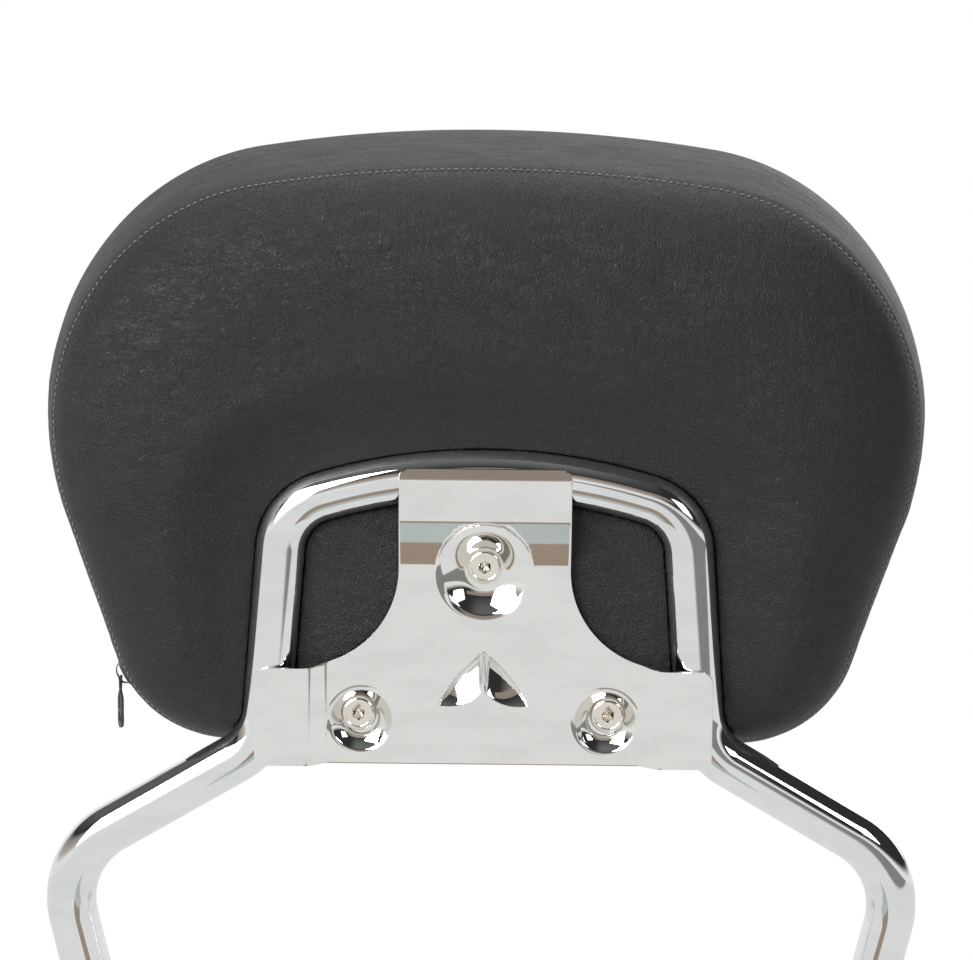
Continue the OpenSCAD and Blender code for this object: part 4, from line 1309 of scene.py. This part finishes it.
class BACKREST_OT_stage(bpy.types.Operator):
    """Floor, studio light, reflecting cards and camera"""

    bl_idname = "backrest.stage"
    bl_label = "Stage"

    def execute(self, context):
        p = context.scene.backrest_stage
        context.scene.view_settings.view_transform = "Standard"
        self.floor(p)
        self.cards()
        self.lamps()
        self.world()
        self.camera(p)
        return {"FINISHED"}

    def floor(self, p):
        """Pale floor that turns white with distance for the camera. Gloss sees it plainly
        lit, with a shade to the right behind the hoop."""
        size = 14.0
        corners = [(x * size, y * size, FLOOR_Z) for x, y in ((-1, -1), (1, -1), (1, 1), (-1, 1))]
        floor = plain_object("floor", corners, [(0, 1, 2, 3)])
        f = Finish("pale floor", Roughness=0.9)
        f.shader.inputs["Base Color"].default_value = (*p.floor_colour, 1.0)
        seen, gloss, passed = f.rays()
        reach = f.node("ShaderNodeVectorMath", {"operation": "LENGTH"}, {0: f.where}, output=1)
        white = f.node("ShaderNodeEmission", {}, {"Color": (1.0, 1.0, 1.0, 1.0)})
        across, depth, _ = f.parts(f.where)
        shade = across.above(0.18, 0.34) * (1.0 - depth.above(-0.43, -0.36))
        tint = f.mix(shade, (0.8, 0.8, 0.79), (0.25, 0.25, 0.24))
        pale = f.node("ShaderNodeEmission", {}, {"Color": tint})
        whiteness = (seen + passed) * (0.35 + 0.65 * reach.above(0.35, 1.3))
        f.surface(f.either(gloss, f.either(whiteness, f.shader.outputs[0], white), pale))
        floor.data.materials.append(f.material)

    def cards(self):
        """Grey and brown boards that only the chrome sees, as in a studio tent: name, place,
        normal, width and height, colour."""
        boards = [
            ("brown_card", (0.0, -0.326, -0.017), (0.0, 0.0, 1.0), (0.15, 0.148),
             (0.36, 0.285, 0.22)),
            ("grey_card", (0.0, -0.218, -0.018), (0.0, 0.0, 1.0), (0.15, 0.072),
             (0.5, 0.55, 0.54)),
            ("high_card", (0.0, -2.2, 1.12), (0.0, 1.0, -0.3), (3.0, 0.3), (0.3, 0.25, 0.21)),
        ]
        side = Vector((1.0, 0.0, 0.0))
        for name, at, normal, (wide, tall), colour in boards:
            up = Vector(normal).normalized().cross(side)
            corners = [tuple(Vector(at) + side * (x * wide / 2) + up * (y * tall / 2))
                       for x, y in ((-1, -1), (1, -1), (1, 1), (-1, 1))]
            card = plain_object(name, corners, [(0, 1, 2, 3)])
            f = Finish(name + " board", Roughness=0.9)
            f.surface(f.node("ShaderNodeEmission", {}, {"Color": (*colour, 1.0)}))
            card.data.materials.append(f.material)
            for kind in ("camera", "diffuse", "shadow", "transmission"):
                setattr(card, "visible_" + kind, False)

    def lamps(self):
        """Square softboxes: name, place, aim, size and power."""
        lamps = [
            ("left_softbox", (-1.3, -1.65, 1.2), (0.0, 0.0, 0.3), 1.6, 75.0),
            ("right_softbox", (1.5, -1.3, 1.0), (0.0, 0.0, 0.25), 0.6, 6.0),
            ("top_softbox", (0.2, 0.3, 1.9), (0.0, 0.0, 0.35), 1.3, 19.0),
            ("front_softbox", (1.2, 1.9, 1.2), (0.0, 0.0, 0.3), 1.4, 11.0),
        ]
        for name, at, aim, size, power in lamps:
            data = bpy.data.lights.new(name, "AREA")
            data.shape = "SQUARE"
            data.size = size
            data.energy = power
            lamp = bpy.data.objects.new(name, data)
            lamp.location = at
            lamp.rotation_euler = (Vector(aim) - Vector(at)).to_track_quat("-Z", "Y").to_euler()
            bpy.context.scene.collection.objects.link(lamp)

    def world(self):
        """White for the camera, plain light for surfaces, and for gloss a tent: white low
        down and behind, greyer overhead, with a dark room to the right."""
        world = bpy.data.worlds.new("studio")
        bpy.context.scene.world = world
        world.use_nodes = True
        world.node_tree.nodes.clear()
        f = Nodes(world.node_tree)
        across, behind, high = f.parts(f.node("ShaderNodeTexCoord", output="Generated"))
        stops = [(0.5, (0.86, 0.86, 0.85)), (0.55, (0.86, 0.86, 0.85)), (0.6, (0.5, 0.45, 0.4)),
                 (0.68, (0.3, 0.27, 0.25)), (0.72, (0.03, 0.03, 0.03)), (1.0, (0.2, 0.2, 0.2))]
        tent = f.node("ShaderNodeValToRGB", {"stops": stops}, {0: 0.5 * high + 0.5})
        tent = f.mix(behind.above(0.45, 0.75), tent, (0.88, 0.88, 0.88))
        room = f.mix(across.above(0.15, 0.5) * high.above(0.05, 0.2), tent, (0.03, 0.03, 0.03))
        bright = (1.0, 1.0, 1.0, 1.0)
        plain, white, gloss = (
            f.node("ShaderNodeBackground", {}, {"Color": colour, "Strength": strength})
            for colour, strength in ((bright, 0.45), (bright, 1.0), (room, 1.0)))
        seen, shiny, passed = f.rays()
        made = f.either(seen, f.either(passed, f.either(shiny, plain, gloss), white), white)
        f.plug(f.tree.nodes.new("ShaderNodeOutputWorld").inputs["Surface"], made)

    def camera(self, p):
        """Stands behind the hoop, a little above its normal, with a slight roll, and is turned
        to the point that the photograph has at its middle."""
        rise, roll = np.radians(p.raise_deg), np.radians(CAMERA_ROLL)
        back = np.array([0.0, np.sin(rise), np.cos(rise)])
        level, steep = np.array([1.0, 0.0, 0.0]), np.array([0.0, np.cos(rise), -np.sin(rise)])
        right = level * np.cos(roll) + steep * np.sin(roll)
        up = steep * np.cos(roll) - level * np.sin(roll)
        ahead = -back + right * (AIM[0] / FOCAL) + up * (AIM[1] / FOCAL)
        ahead /= np.linalg.norm(ahead)
        right = np.cross(ahead, up)
        right /= np.linalg.norm(right)
        axes = np.stack([right, np.cross(right, ahead), -ahead])
        matrix = np.eye(4)
        matrix[:3, :3] = (leant(axes) - leant(np.zeros((3, 3)))).T * 1000.0
        matrix[:3, 3] = leant(back * p.distance * 1000)[0]
        data = bpy.data.cameras.new("camera")
        data.sensor_width = 36.0
        data.lens = FOCAL / FRAME_WIDTH * data.sensor_width
        data.clip_start, data.clip_end = 0.05, 60.0
        camera = bpy.data.objects.new("camera", data)
        camera.matrix_world = Matrix(matrix.tolist())
        bpy.context.scene.collection.objects.link(camera)
        bpy.context.scene.camera = camera


class BACKREST_PT_panel(bpy.types.Panel):
    """Makes the backrest's pieces"""

    bl_idname = "BACKREST_PT_panel"
    bl_label = "Backrest"
    bl_space_type = "VIEW_3D"
    bl_region_type = "UI"
    bl_category = "Backrest"

    def draw(self, context):
        for settings, operators in LAYOUT:
            box = self.layout.box()
            group = getattr(context.scene, settings)
            for name in group.__annotations__:
                box.prop(group, name)
            for operator in operators:
                box.operator(operator)


LAYOUT = [
    ("backrest_hoop", ["backrest.tube", "backrest.plates"]),
    ("backrest_bracket", ["backrest.bracket", "backrest.screws"]),
    ("backrest_pad", ["backrest.cover", "backrest.seams", "backrest.inside"]),
    ("backrest_zip", ["backrest.zip"]),
    ("backrest_stage", ["backrest.stage"]),
]
SETTINGS = {
    "backrest_hoop": HoopSettings,
    "backrest_bracket": BracketSettings,
    "backrest_pad": PadSettings,
    "backrest_zip": ZipSettings,
    "backrest_stage": StageSettings,
}
CLASSES = [
    *SETTINGS.values(), BACKREST_OT_tube, BACKREST_OT_plates, BACKREST_OT_bracket,
    BACKREST_OT_screws, BACKREST_OT_cover, BACKREST_OT_seams, BACKREST_OT_zip,
    BACKREST_OT_inside, BACKREST_OT_stage, BACKREST_PT_panel,
]


def register():
    for cls in CLASSES:
        bpy.utils.register_class(cls)
    for name, group in SETTINGS.items():
        setattr(bpy.types.Scene, name, PointerProperty(type=group))


def unregister():
    for name in SETTINGS:
        delattr(bpy.types.Scene, name)
    for cls in reversed(CLASSES):
        bpy.utils.unregister_class(cls)


def main():
    register()
    make_finishes()
    for _, operators in LAYOUT:
        for operator in operators:
            group, name = operator.split(".")
            getattr(getattr(bpy.ops, group), name)()


if __name__ == "__main__":
    main()
